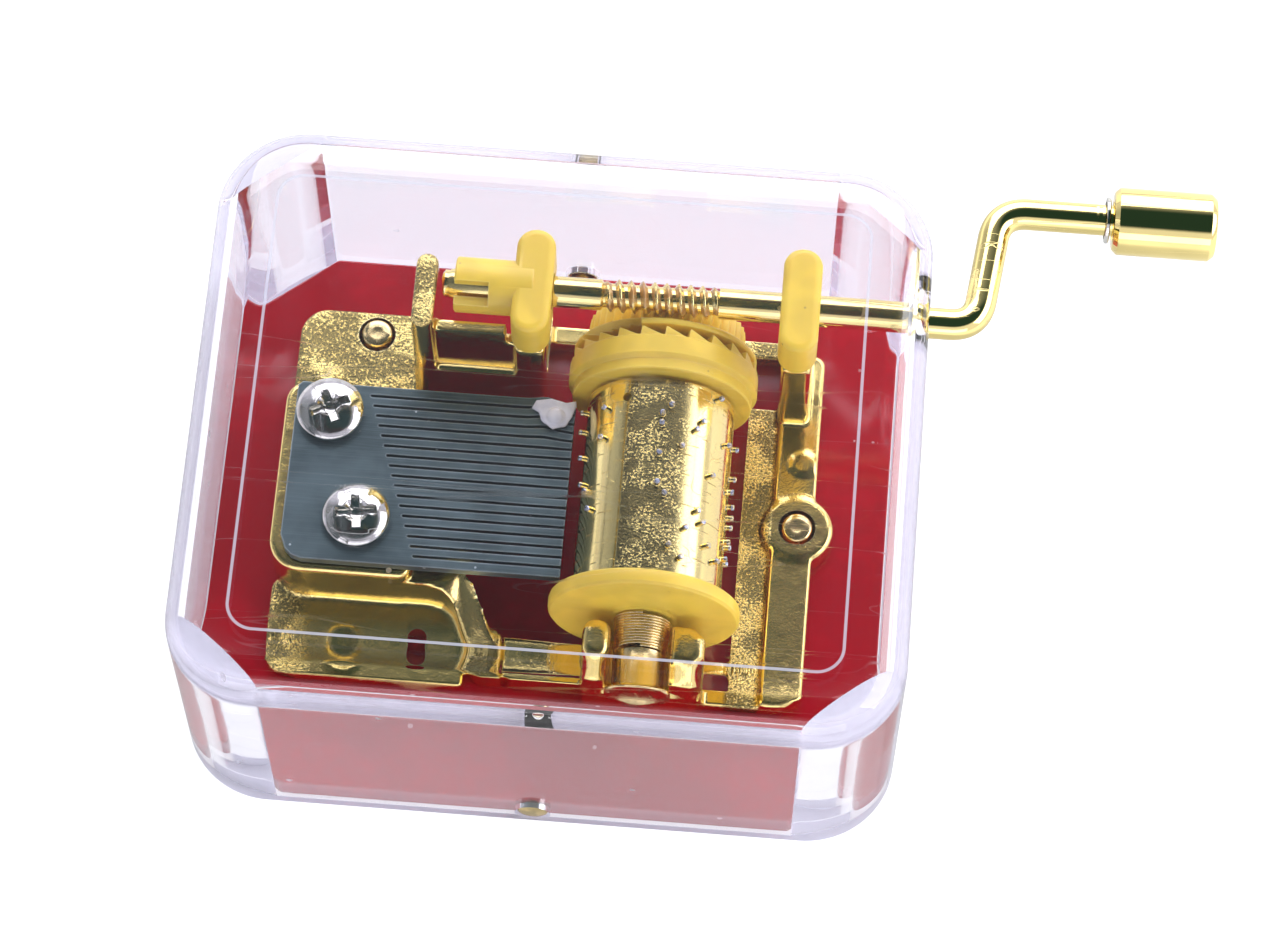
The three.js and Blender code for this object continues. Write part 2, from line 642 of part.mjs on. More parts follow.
const handle = new THREE.Group();
handle.position.set(0, HANDLE_OFFSET, 0);
crank.add(handle);
handle.add(piece('knob_washer', knobWasher(), nickel));
handle.add(piece('crank_knob', crankKnob(), goldPlate));

export default musicBox;
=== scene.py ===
"""Hand-cranked 18-note music box in a clear case, as a family of procedural parts."""
import math

import bmesh
import bpy
from mathutils import Matrix, Vector


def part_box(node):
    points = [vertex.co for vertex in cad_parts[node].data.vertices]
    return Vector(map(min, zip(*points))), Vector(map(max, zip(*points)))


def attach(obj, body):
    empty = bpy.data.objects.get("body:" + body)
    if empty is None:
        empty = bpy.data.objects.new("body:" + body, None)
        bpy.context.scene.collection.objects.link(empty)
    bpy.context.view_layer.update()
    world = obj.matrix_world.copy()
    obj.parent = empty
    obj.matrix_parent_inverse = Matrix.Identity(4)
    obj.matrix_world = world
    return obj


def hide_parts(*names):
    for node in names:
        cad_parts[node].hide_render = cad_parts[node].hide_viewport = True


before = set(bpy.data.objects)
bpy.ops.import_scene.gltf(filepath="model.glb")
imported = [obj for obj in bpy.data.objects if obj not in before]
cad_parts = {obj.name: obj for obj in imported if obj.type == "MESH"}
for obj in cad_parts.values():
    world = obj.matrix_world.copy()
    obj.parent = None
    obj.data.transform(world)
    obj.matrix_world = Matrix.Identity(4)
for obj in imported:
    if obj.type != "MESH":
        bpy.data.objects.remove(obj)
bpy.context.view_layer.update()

bl_info = {
    "name": "Hand crank music box",
    "version": (1, 0, 0),
    "blender": (4, 5, 0),
    "location": "3D View > Sidebar > Music box",
    "description": "Builds the case, comb movement and crank of a small music box",
    "category": "Add Mesh",
}

MM = 0.001
TAU = 2 * math.pi


# ---- Shapes: every maker returns (points, faces) in millimetres ----------------------------

def mm_box(node):
    """Lowest and highest corner of a CAD node, in millimetres."""
    low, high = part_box(node)
    return low / MM, high / MM


def loft(rings, closed=False):
    """Skins rings of equal length, and caps the two ends unless the rings close on themselves."""
    count = len(rings[0])
    points = [tuple(p) for ring in rings for p in ring]
    faces = []
    last = len(rings) if closed else len(rings) - 1
    for k in range(last):
        a, b = k * count, ((k + 1) % len(rings)) * count
        for i in range(count):
            j = (i + 1) % count
            faces.append((a + i, a + j, b + j, b + i))
    if not closed:
        faces.append(tuple(range(count))[::-1])
        faces.append(tuple(range(len(points) - count, len(points))))
    return points, faces


def brick(x0, x1, y0, y1, z0, z1):
    return loft([[(x0, y0, z), (x1, y0, z), (x1, y1, z), (x0, y1, z)] for z in (z0, z1)])


def rounded_outline(x0, x1, y0, y1, radius, steps=8):
    """A rectangle with round corners, anticlockwise; radius may be one number or four."""
    radii = radius if isinstance(radius, (list, tuple)) else [radius] * 4
    corners = [(x1, y0, 1, -1, -90), (x1, y1, 1, 1, 0), (x0, y1, -1, 1, 90), (x0, y0, -1, -1, 180)]
    outline = []
    for (x, y, sx, sy, start), r in zip(corners, radii):
        for k in range(steps + 1):
            a = math.radians(start + 90 * k / steps)
            outline.append((x - sx * r + r * math.cos(a), y - sy * r + r * math.sin(a)))
    return outline


def cut_outline(half_x, half_y, leg_x, leg_y):
    """A rectangle about the origin with straight cuts across its corners, anticlockwise."""
    return [
        (half_x - leg_x, -half_y), (half_x, leg_y - half_y), (half_x, half_y - leg_y),
        (half_x - leg_x, half_y), (leg_x - half_x, half_y), (-half_x, half_y - leg_y),
        (-half_x, leg_y - half_y), (leg_x - half_x, -half_y),
    ]


def flat(outline, z):
    return [(x, y, z) for x, y in outline]


def prism(outline, z0, z1):
    return loft([flat(outline, z0), flat(outline, z1)])


def circle(radius, segments, phase=0.0):
    return [
        (radius * math.cos(TAU * k / segments + phase), radius * math.sin(TAU * k / segments + phase))
        for k in range(segments)
    ]


def turned(profile, segments=64, axis="Y"):
    """Turns (radius, distance) pairs about an axis through the origin; radius 0 closes an end."""
    points, rows = [], []
    for r, h in profile:
        if r < 1e-6:
            rows.append([len(points)])
            points.append((0.0, 0.0, h))
        else:
            rows.append(list(range(len(points), len(points) + segments)))
            points.extend((x, y, h) for x, y in circle(r, segments))
    faces = []
    pairs = list(zip(rows, rows[1:]))
    if len(rows[0]) > 1:
        pairs.append((rows[-1], rows[0]))
    for low, high in pairs:
        for i in range(segments):
            j = (i + 1) % segments
            if len(low) == 1 and len(high) == 1:
                continue
            if len(low) == 1:
                faces.append((low[0], high[j], high[i]))
            elif len(high) == 1:
                faces.append((low[i], low[j], high[0]))
            else:
                faces.append((low[i], low[j], high[j], high[i]))
    return along((points, faces), axis)


def barrel(radius, start, end, segments, axis="Y"):
    """A plain cylinder about an axis through the origin."""
    return turned([(0, start), (radius, start), (radius, end), (0, end)], segments, axis)


def along(shape, axis):
    """Turns a shape made about Z so that its Z lies along another axis."""
    points, faces = shape
    if axis == "X":
        points = [(z, x, y) for x, y, z in points]
    elif axis == "Y":
        points = [(y, z, x) for x, y, z in points]
    return points, faces


def moved(shape, x=0.0, y=0.0, z=0.0):
    points, faces = shape
    return [(px + x, py + y, pz + z) for px, py, pz in points], faces


def spun(shape, degrees, axis="Z"):
    points, faces = shape
    turn = Matrix.Rotation(math.radians(degrees), 3, axis)
    return [tuple(turn @ Vector(p)) for p in points], faces


def swept(path, radius, sides=12, closed=False):
    """A round bar along a path of points; radius may be one number or one for each point."""
    path = [Vector(p) for p in path]
    radii = radius if isinstance(radius, (list, tuple)) else [radius] * len(path)
    normal = None
    rings = []
    for k, point in enumerate(path):
        ahead = path[min(k + 1, len(path) - 1)] - path[max(k - 1, 0)]
        ahead.normalize()
        if normal is None:
            normal = ahead.orthogonal().normalized()
        normal = (normal - ahead * normal.dot(ahead)).normalized()
        side = ahead.cross(normal)
        rings.append([tuple(point + normal * x + side * y) for x, y in circle(radii[k], sides)])
    return loft(rings, closed)


def softened(outline, z0, z1, edge, steps=3):
    """A prism whose top edge is rounded over by an amount."""
    rings = [flat(outline, z0)]
    for k in range(steps + 1):
        a = math.pi / 2 * k / steps
        rings.append(flat(inset(outline, edge * (1 - math.cos(a))), z1 - edge + edge * math.sin(a)))
    return loft(rings)


def inset(outline, amount):
    """Moves an anticlockwise outline inwards."""
    if amount < 1e-9:
        return list(outline)
    moved_in = []
    count = len(outline)
    for i in range(count):
        before = Vector(outline[i]) - Vector(outline[i - 1])
        after = Vector(outline[(i + 1) % count]) - Vector(outline[i])
        n1 = Vector((-before.y, before.x)).normalized()
        n2 = Vector((-after.y, after.x)).normalized()
        mitre = (n1 + n2) / max(0.4, 1 + n1.dot(n2))
        moved_in.append(tuple(Vector(outline[i]) + mitre * amount))
    return moved_in


# ---- Objects -----------------------------------------------------------------------------

def mesh_from(shapes, name):
    points, faces = [], []
    for shape in shapes:
        start = len(points)
        points.extend((x * MM, y * MM, z * MM) for x, y, z in shape[0])
        faces.extend(tuple(i + start for i in face) for face in shape[1])
    mesh = bpy.data.meshes.new(name)
    mesh.from_pydata(points, [], faces)
    work = bmesh.new()
    work.from_mesh(mesh)
    bmesh.ops.recalc_face_normals(work, faces=work.faces)
    work.to_mesh(mesh)
    work.free()
    return mesh


def loose(name, shapes):
    piece = bpy.data.objects.new(name, mesh_from(shapes, name))
    bpy.context.scene.collection.objects.link(piece)
    return piece


def applied(piece):
    """Makes a piece's modifiers part of its mesh."""
    bpy.context.view_layer.update()
    graph = bpy.context.evaluated_depsgraph_get()
    mesh = bpy.data.meshes.new_from_object(piece.evaluated_get(graph), depsgraph=graph)
    old = piece.data
    piece.modifiers.clear()
    piece.data = mesh
    bpy.data.meshes.remove(old)
    return piece


def combine(piece, tools, operation):
    """Joins or cuts a piece with closed shapes; a tool is a list of shapes or a ready object."""
    for k, shapes in enumerate(tools):
        tool = shapes if isinstance(shapes, bpy.types.Object) else loose(f"{piece.name}_tool_{k}", shapes)
        modifier = piece.modifiers.new("combine", "BOOLEAN")
        modifier.operation, modifier.solver, modifier.object = operation, "MANIFOLD", tool
        applied(piece)
        bpy.data.objects.remove(tool)
    return piece


def crisp(piece, degrees=30):
    piece.data.shade_smooth()
    piece.data.set_sharp_from_angle(angle=math.radians(degrees))
    return piece


def weighted(piece):
    modifier = piece.modifiers.new("even shading", "WEIGHTED_NORMAL")
    modifier.keep_sharp = True
    modifier.weight = 100
    return piece


def rounded(piece, width, segments=2, degrees=35):
    """Rounds a piece's edges over."""
    modifier = piece.modifiers.new("soft edges", "BEVEL")
    modifier.width = width * MM
    modifier.segments = segments
    modifier.limit_method = "ANGLE"
    modifier.angle_limit = math.radians(degrees)
    return applied(piece)


def melted(piece, detail, rounds):
    """Runs a piece's shapes together into one soft skin."""
    remesh = piece.modifiers.new("melted", "REMESH")
    remesh.mode = "VOXEL"
    remesh.voxel_size = detail * MM
    smooth = piece.modifiers.new("soft", "SMOOTH")
    smooth.factor, smooth.iterations = 0.5, rounds
    return applied(piece)


def placed(piece, body, node, material):
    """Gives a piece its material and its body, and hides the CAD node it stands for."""
    piece.data.materials.clear()
    piece.data.materials.append(finish(material))
    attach(piece, body)
    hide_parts(node)
    return piece


# ---- Node helpers --------------------------------------------------------------------------

class Tree:
    """Adds and links nodes in a material or a group."""

    def __init__(self, tree):
        self.tree = tree

    def add(self, kind, inputs=None, **settings):
        node = self.tree.nodes.new(kind)
        for key, value in settings.items():
            setattr(node, key, value)
        for key, value in (inputs or {}).items():
            self.feed(node.inputs[key], value)
        return node

    def feed(self, socket, value):
        if isinstance(value, bpy.types.NodeSocket):
            self.tree.links.new(value, socket)
        elif isinstance(value, bpy.types.Node):
            self.tree.links.new(value.outputs[0], socket)
        else:
            socket.default_value = value

    def math(self, operation, *values):
        node = self.add("ShaderNodeMath", operation=operation)
        for socket, value in zip(node.inputs, values):
            self.feed(socket, value)
        return node.outputs[0]

    def plus(self, first, second):
        return self.math("ADD", first, second)

    def minus(self, first, second):
        return self.math("SUBTRACT", first, second)

    def times(self, first, second):
        return self.math("MULTIPLY", first, second)

    def most(self, first, *others):
        """The greatest of some values."""
        for other in others:
            first = self.math("MAXIMUM", first, other)
        return first

    def noise(self, place, scale, detail):
        return self.add("ShaderNodeTexNoise", inputs={"Vector": place, "Scale": scale, "Detail": detail})

    def place(self):
        return self.add("ShaderNodeTexCoord").outputs["Object"]

    def axes(self):
        """The three coordinates of a point of the surface, in metres."""
        return self.add("ShaderNodeSeparateXYZ", inputs={"Vector": self.place()}).outputs

    def wire(self, node, **sockets):
        """Feeds a node's sockets, named with underscores for spaces."""
        for key, value in sockets.items():
            self.feed(node.inputs[key.replace("_", " ")], value)

    def ramp(self, value, low, high, bottom=0.0, top=1.0):
        """Maps a value from low..high to bottom..top with soft ends."""
        node = self.add("ShaderNodeMapRange", interpolation_type="SMOOTHSTEP", inputs={
            "From Min": low, "From Max": high, "To Min": bottom, "To Max": top,
        })
        self.feed(node.inputs["Value"], value)
        return node.outputs["Result"]

    def mix(self, share, first, second):
        node = self.add("ShaderNodeMix", data_type="RGBA")
        self.feed(node.inputs[0], share)
        self.feed(node.inputs[6], first)
        self.feed(node.inputs[7], second)
        return node.outputs[2]

    def group(self, name, **inputs):
        """One of the shared effects."""
        effect = bpy.data.node_groups.get(name) or EFFECTS[name]()
        node = self.add("ShaderNodeGroup", node_tree=effect)
        for key, value in inputs.items():
            self.feed(node.inputs[key.replace("_", " ").capitalize()], value)
        return node


def shader_group(name, inputs, outputs):
    """A new node group with named sockets; returns it with its tree, input and output nodes."""
    group = bpy.data.node_groups.new(name, "ShaderNodeTree")
    for label, kind, default in inputs:
        socket = group.interface.new_socket(label, in_out="INPUT", socket_type=kind)
        socket.default_value = default
    for label, kind in outputs:
        group.interface.new_socket(label, in_out="OUTPUT", socket_type=kind)
    tree = Tree(group)
    return group, tree, tree.add("NodeGroupInput"), tree.add("NodeGroupOutput")


def surface(name, **constants):
    """A new material with its tree, its Principled shader and its output."""
    material = bpy.data.materials.new(name)
    material.use_nodes = True
    material.node_tree.nodes.clear()
    tree = Tree(material.node_tree)
    shader = tree.add("ShaderNodeBsdfPrincipled")
    for key, value in constants.items():
        shader.inputs[key.replace("_", " ")].default_value = value
    out = tree.add("ShaderNodeOutputMaterial", inputs={"Surface": shader})
    return material, tree, shader, out


# ---- Shared effects --------------------------------------------------------------------------

def grain_group():
    """Cast or moulded skin: fine lumps whose depth comes and goes in patches."""
    group, tree, inlet, outlet = shader_group("grain", [
        ("Scale", "NodeSocketFloat", 2500.0), ("Patch scale", "NodeSocketFloat", 250.0),
        ("Patchiness", "NodeSocketFloat", 0.5),
    ], [("Height", "NodeSocketFloat"), ("Patch", "NodeSocketFloat")])
    place = tree.place()
    fine = tree.add("ShaderNodeTexNoise", inputs={
        "Vector": place, "Scale": inlet.outputs["Scale"], "Detail": 3.0, "Roughness": 0.55,
    })
    wide = tree.add("ShaderNodeTexNoise", inputs={
        "Vector": place, "Scale": inlet.outputs["Patch scale"], "Detail": 2.0,
    })
    patch = tree.ramp(wide, 0.42, 0.6)
    kept = tree.minus(1.0, tree.times(inlet.outputs["Patchiness"], patch))
    tree.feed(outlet.inputs["Height"], tree.times(fine, kept))
    tree.feed(outlet.inputs["Patch"], patch)
    return group


def scratch_group():
    """Hairline scratches: two sets of long thin streaks at different angles."""
    group, tree, inlet, outlet = shader_group("scratches", [
        ("Scale", "NodeSocketFloat", 300.0), ("Amount", "NodeSocketFloat", 0.5),
    ], [("Mask", "NodeSocketFloat")])
    place = tree.place()
    masks = []
    for turn, stretch in (
        ((0.3, 0.2, 0.5), (0.05, 1, 1)), ((1.1, 0.4, 2.1), (0.04, 1, 1)), ((0.2, 1.3, 1.2), (0.06, 1, 1)),
    ):
        mapped = tree.add("ShaderNodeMapping", inputs={"Vector": place, "Rotation": turn, "Scale": stretch})
        streak = tree.add("ShaderNodeTexNoise", inputs={
            "Vector": mapped, "Scale": inlet.outputs["Scale"], "Detail": 1.0, "Distortion": 0.2,
        })
        line = tree.math("ABSOLUTE", tree.minus(streak, 0.5))
        gate = tree.noise(mapped, 220.0, 1.0)
        masks.append(tree.times(tree.ramp(line, 0.0, 0.006, 1.0, 0.0), tree.ramp(gate, 0.56, 0.66)))
    both = tree.most(*masks)
    tree.feed(outlet.inputs["Mask"], tree.times(both, inlet.outputs["Amount"]))
    return group


def dust_group():
    """Scattered specks of dust: small round spots in a fraction of the cells."""
    group, tree, inlet, outlet = shader_group("dust", [
        ("Scale", "NodeSocketFloat", 400.0), ("Size", "NodeSocketFloat", 0.12),
        ("Share", "NodeSocketFloat", 0.2),
    ], [("Mask", "NodeSocketFloat")])
    place = tree.place()
    cells = tree.add("ShaderNodeTexVoronoi", inputs={"Vector": place, "Scale": inlet.outputs["Scale"]})
    spot = tree.math("LESS_THAN", cells.outputs["Distance"], inlet.outputs["Size"])
    pick = tree.add("ShaderNodeSeparateColor", inputs={"Color": cells.outputs["Color"]})
    chosen = tree.math("LESS_THAN", pick, inlet.outputs["Share"])
    tree.feed(outlet.inputs["Mask"], tree.times(spot, chosen))
    return group


def outline_group():
    """A thin line at a distance inside a rectangle with round corners, seen from above."""
    group, tree, inlet, outlet = shader_group("outline", [
        ("Half width", "NodeSocketFloat", 0.03), ("Half depth", "NodeSocketFloat", 0.02),
        ("Corner", "NodeSocketFloat", 0.008), ("Inset", "NodeSocketFloat", 0.004),
        ("Thickness", "NodeSocketFloat", 0.0002),
    ], [("Mask", "NodeSocketFloat")])
    x, y, _ = tree.axes()
    over = []
    for along_axis, half in ((x, "Half width"), (y, "Half depth")):
        flat_part = tree.minus(inlet.outputs[half], inlet.outputs["Corner"])
        over.append(tree.minus(tree.math("ABSOLUTE", along_axis), flat_part))
    outside = tree.add("ShaderNodeCombineXYZ", inputs={
        "X": tree.most(over[0], 0.0), "Y": tree.most(over[1], 0.0), "Z": 0.0,
    })
    beyond = tree.add("ShaderNodeVectorMath", operation="LENGTH", inputs={0: outside}).outputs["Value"]
    within = tree.math("MINIMUM", tree.most(over[0], over[1]), 0.0)
    depth = tree.minus(inlet.outputs["Corner"], tree.plus(beyond, within))
    off = tree.math("ABSOLUTE", tree.minus(depth, inlet.outputs["Inset"]))
    tree.feed(
        outlet.inputs["Mask"], tree.math("LESS_THAN", off, tree.times(inlet.outputs["Thickness"], 0.5)),
    )
    return group


def edge_group():
    """Worn edges: where the surface turns within a small radius."""
    group, tree, inlet, outlet = shader_group("edge_wear", [
        ("Strength", "NodeSocketFloat", 1.0),
    ], [("Mask", "NodeSocketFloat")])
    soft = tree.add("ShaderNodeBevel", samples=4, inputs={"Radius": 0.00025})
    shape = tree.add("ShaderNodeNewGeometry")
    turn = tree.add("ShaderNodeVectorMath", operation="DOT_PRODUCT")
    tree.feed(turn.inputs[0], soft)
    tree.feed(turn.inputs[1], shape.outputs["Normal"])
    away = tree.minus(1.0, turn.outputs["Value"])
    tree.feed(outlet.inputs["Mask"], tree.times(tree.ramp(away, 0.02, 0.2), inlet.outputs["Strength"]))
    return group


def bumped(tree, shader, height, depth_mm, strength=1.0):
    bump = tree.add(
        "ShaderNodeBump", inputs={"Strength": strength, "Distance": depth_mm * MM, "Height": height},
    )
    tree.feed(shader.inputs["Normal"], bump)


# ---- Finishes ----------------------------------------------------------------------------------

def colour(rgb):
    return (rgb[0], rgb[1], rgb[2], 1.0)


def shade(rgb, factor):
    return tuple(min(1.0, c * factor) for c in rgb[:3]) + (1.0,)


def clear_styrene(look):
    """Moulded styrene: clear through, and see-through to shadow rays so that light gets in."""
    material, tree, shader, out = surface(
        "clear_styrene", Base_Color=colour(look.clear), IOR=1.57, Transmission_Weight=1.0)
    lines = tree.group("scratches", scale=260.0, amount=0.6)
    specks = tree.group("dust", scale=230.0, size=0.07, share=0.10)
    marks = tree.most(lines, specks)
    tree.wire(shader, Roughness=tree.times(marks, 0.35))
    path = tree.add("ShaderNodeLightPath")
    see_through = tree.add("ShaderNodeBsdfTransparent", inputs={"Color": (0.95, 0.94, 0.98, 1)})
    both = tree.add("ShaderNodeMixShader")
    tree.feed(both.inputs[0], path.outputs["Is Shadow Ray"])
    tree.feed(both.inputs[1], shader)
    tree.feed(both.inputs[2], see_through)
    # painted light: a pale, dull line round the flat of the top is a painted highlight where the top turns
    # into its curved edge, and the foot of the walls is painted pale as painted glow for light piped up
    # through them
    line = tree.group(
        "outline", half_width=CASE_W / 2 * MM, half_depth=CASE_D / 2 * MM, corner=CORNER_R * MM,
        inset=EDGE_W * MM, thickness=0.26 * MM)
    height = tree.axes()[2]
    on_top = tree.math("GREATER_THAN", height, (CASE_H - 0.15) * MM)
    # painted highlight and painted glow: a pale, dull shader that the masks below mix in
    pale = tree.add(
        "ShaderNodeBsdfPrincipled", inputs={"Base Color": (0.78, 0.78, 0.92, 1), "Roughness": 0.4},
    )
    with_painted_light = tree.add("ShaderNodeMixShader")
    # painted glow at the foot of the walls, and a painted highlight along the line round the flat of the top
    painted_foot_glow = tree.math("LESS_THAN", height, 0.06 * MM)
    painted_top_line_highlight = tree.times(tree.times(line, on_top), 0.6)
    tree.feed(with_painted_light.inputs[0], tree.most(painted_top_line_highlight, tree.times(painted_foot_glow, 0.85)))
    tree.feed(with_painted_light.inputs[1], both)
    tree.feed(with_painted_light.inputs[2], pale)
    tree.feed(out.inputs["Surface"], with_painted_light)
    return material


def red_styrene(look):
    material, tree, shader, _ = surface("red_styrene")
    skin = tree.group("grain", scale=900.0, patch_scale=90.0, patchiness=0.6)
    specks = tree.group("dust", scale=420.0, size=0.10, share=0.16)
    lines = tree.group("scratches", scale=320.0, amount=0.5)
    base = tree.mix(tree.ramp(skin, 0.2, 0.8), shade(look.red, 0.85), shade(look.red, 1.1))
    marks = tree.most(specks, tree.times(lines, 0.35))
    tree.wire(
        shader, Base_Color=tree.mix(tree.times(marks, 0.55), base, (0.75, 0.55, 0.6, 1)),
        Roughness=tree.ramp(marks, 0.0, 1.0, 0.12, 0.6),
    )
    bumped(tree, shader, skin, 0.02, 0.3)
    return material


def cast_gold(look):
    """Thin gold plate over a die casting: stippled skin with painted shade in the pits of its rough parts,
    smoother patches and bright worn edges.
    """
    material, tree, shader, _ = surface("cast_gold", Metallic=1.0)
    skin = tree.group("grain", scale=4600.0, patch_scale=260.0, patchiness=0.3)
    coarse = tree.group("grain", scale=900.0, patch_scale=300.0, patchiness=0.9)
    wear = tree.group("edge_wear", strength=1.0)
    # the die left these parts of the casting rough: the rear lug, the inner shelf, the left end; the tops of
    # the posts are rough too, and in all of these the pits are painted dark as painted shade
    x, y, z = tree.axes()
    lug = tree.times(tree.ramp(x, -11.4 * MM, -11.2 * MM, 1.0, 0.0), tree.ramp(y, 5.5 * MM, 6.5 * MM))
    shelf = tree.times(tree.ramp(x, 16 * MM, 16.6 * MM), tree.ramp(x, 19.2 * MM, 19.5 * MM, 1.0, 0.0))
    end = tree.times(
        tree.ramp(x, -23.5 * MM, -20.5 * MM, 1.0, 0.0), tree.ramp(y, -9 * MM, -8 * MM, 1.0, 0.0),
    )
    low = tree.ramp(z, 6.8 * MM, 7.2 * MM, 1.0, 0.0)
    die = tree.times(tree.most(lug, shelf, end), low)
    post = tree.math("GREATER_THAN", z, 22 * MM)
    rough = tree.most(die, post, tree.times(skin.outputs["Patch"], 0.12))
    # painted shade: the low pits of the rough parts are painted dark
    painted_pit_shade = tree.times(rough, tree.ramp(skin, 0.36, 0.50, 1.0, 0.0))
    tone = tree.mix(painted_pit_shade, shade(look.gold, 1.02), shade(look.gold, 0.32))
    tree.wire(
        shader, Base_Color=tree.mix(wear, tone, (1.0, 0.88, 0.50, 1)),
        Roughness=tree.ramp(rough, 0.0, 1.0, 0.13, 0.20),
    )
    height = tree.times(skin, tree.plus(0.10, rough))
    bumped(tree, shader, tree.plus(height, tree.times(coarse, 0.25)), 0.13, 0.95)
    return material


def polished_gold(look):
    material, tree, shader, _ = surface("polished_gold", Metallic=1.0)
    skin = tree.group("grain", scale=700.0, patch_scale=160.0, patchiness=0.4)
    lines = tree.group("scratches", scale=420.0, amount=1.0)
    specks = tree.group("dust", scale=700.0, size=0.12, share=0.10)
    tone = tree.mix(skin.outputs["Patch"], shade(look.polish, 0.95), shade(look.polish, 1.03))
    marks = tree.most(lines, specks)
    tree.wire(
        shader, Base_Color=tree.mix(tree.times(marks, 0.5), tone, (0.75, 0.6, 0.3, 1)),
        Roughness=tree.ramp(marks, 0.0, 1.0, 0.07, 0.35),
    )
    bumped(tree, shader, tree.minus(tree.times(skin, 0.6), marks), 0.012, 0.5)
    return material


def drum_brass(look):
    """The cylinder's skin: a stippled band across the top of the drum from the seam, painted dark between
    bright specks as painted shade, and scribed marks along the tracks.
    """
    material, tree, shader, _ = surface("drum_brass", Metallic=1.0)
    x, y, z = tree.axes()
    across = tree.minus(x, AXIS_X * MM)
    above = tree.minus(z, AXIS_Z * MM)
    angle = tree.math("ARCTAN2", across, above)
    # a stippled band across the top of the drum, from the seam on; its colour carries painted shade below
    stipple_and_shade_band = tree.times(tree.ramp(angle, -0.44, -0.40), tree.ramp(angle, 0.30, 0.52, 1.0, 0.0))
    skin = tree.group("grain", scale=4800.0, patch_scale=420.0, patchiness=0.25)
    stipple = tree.ramp(skin, 0.46, 0.60)
    track = tree.math("FRACT", tree.times(y, 1 / (0.9556 * MM)))
    line = tree.ramp(tree.math("ABSOLUTE", tree.minus(track, 0.5)), 0.02, 0.06, 1.0, 0.0)
    wrap = tree.add(
        "ShaderNodeCombineXYZ", inputs={"X": angle, "Y": tree.times(y, 1 / (2.0 * MM)), "Z": 0.0},
    )
    gate = tree.noise(wrap, 3.1, 1.0)
    scribed = tree.times(line, tree.ramp(gate, 0.55, 0.62))
    lines = tree.group("scratches", scale=500.0, amount=0.7)
    # painted shade: most of the band is painted a dark olive, leaving bright specks
    dark = tree.times(stipple_and_shade_band, tree.ramp(stipple, 0.0, 1.0, 0.9, 0.12))
    tone = tree.mix(dark, colour(look.polish), shade(look.polish, 0.14))
    marks = tree.most(scribed, tree.times(lines, 0.5))
    tree.wire(
        shader, Base_Color=tree.mix(tree.times(marks, 0.45), tone, (0.40, 0.30, 0.10, 1)),
        Roughness=tree.plus(0.12, tree.times(stipple_and_shade_band, 0.08)),
    )
    height = tree.minus(tree.times(skin, tree.plus(0.08, stipple_and_shade_band)), marks)
    bumped(tree, shader, height, 0.06, 0.9)
    return material


def pin_tip(look):
    material, tree, shader, _ = surface("pin_tip", Metallic=0.9)
    skin = tree.group("grain", scale=6000.0, patch_scale=2200.0, patchiness=0.6)
    tree.wire(
        shader, Base_Color=tree.mix(skin.outputs["Patch"], (0.42, 0.46, 0.62, 1), (0.75, 0.62, 0.34, 1)),
        Roughness=tree.ramp(skin, 0.2, 0.8, 0.2, 0.4),
    )
    return material


def ground_steel(look):
    """Blued spring steel, ground lengthwise."""
    material, tree, shader, _ = surface("ground_steel", Metallic=0.85)
    place = tree.place()
    stretched = tree.add("ShaderNodeMapping", inputs={"Vector": place, "Scale": (0.02, 1, 0.5)})
    fine = tree.noise(stretched, 9000.0, 3.0)
    wide = tree.noise(place, 180.0, 3.0)
    specks = tree.group("dust", scale=900.0, size=0.13, share=0.10)
    wear = tree.group("edge_wear", strength=0.9)
    tone = tree.mix(tree.ramp(wide, 0.35, 0.7), shade(look.steel, 0.8), shade(look.steel, 1.25))
    tone = tree.mix(tree.times(tree.ramp(fine, 0.4, 0.8), 0.35), tone, shade(look.steel, 1.9))
    tone = tree.mix(tree.most(wear, specks), tone, (0.5, 0.58, 0.6, 1))
    tree.wire(shader, Base_Color=tone, Roughness=tree.ramp(fine, 0.3, 0.8, 0.34, 0.52))
    bumped(tree, shader, fine, 0.012, 0.6)
    return material


def bright_nickel(look):
    material, tree, shader, _ = surface("bright_nickel", Metallic=1.0)
    skin = tree.group("grain", scale=1400.0, patch_scale=500.0, patchiness=0.5)
    lines = tree.group("scratches", scale=700.0, amount=1.0)
    wear = tree.group("edge_wear", strength=0.6)
    tone = tree.mix(skin.outputs["Patch"], shade(look.nickel, 0.8), shade(look.nickel, 1.05))
    tree.wire(
        shader, Base_Color=tree.mix(wear, tone, (0.95, 0.94, 0.9, 1)),
        Roughness=tree.plus(0.09, tree.times(lines, 0.25)),
    )
    bumped(tree, shader, tree.minus(skin, lines), 0.015, 0.7)
    return material


def turned_brass(look):
    """Bushes, pins and screw tips: fine scratches and a little tarnish."""
    material, tree, shader, _ = surface("turned_brass", Metallic=1.0)
    skin = tree.group("grain", scale=1800.0, patch_scale=600.0, patchiness=0.5)
    lines = tree.group("scratches", scale=800.0, amount=0.8)
    wear = tree.group("edge_wear", strength=0.8)
    tone = tree.mix(skin.outputs["Patch"], shade(look.brass, 0.75), shade(look.brass, 1.05))
    tree.wire(
        shader, Base_Color=tree.mix(wear, tone, (1.0, 0.84, 0.5, 1)),
        Roughness=tree.ramp(skin, 0.2, 0.8, 0.14, 0.3),
    )
    bumped(tree, shader, tree.minus(skin, lines), 0.018, 0.6)
    return material


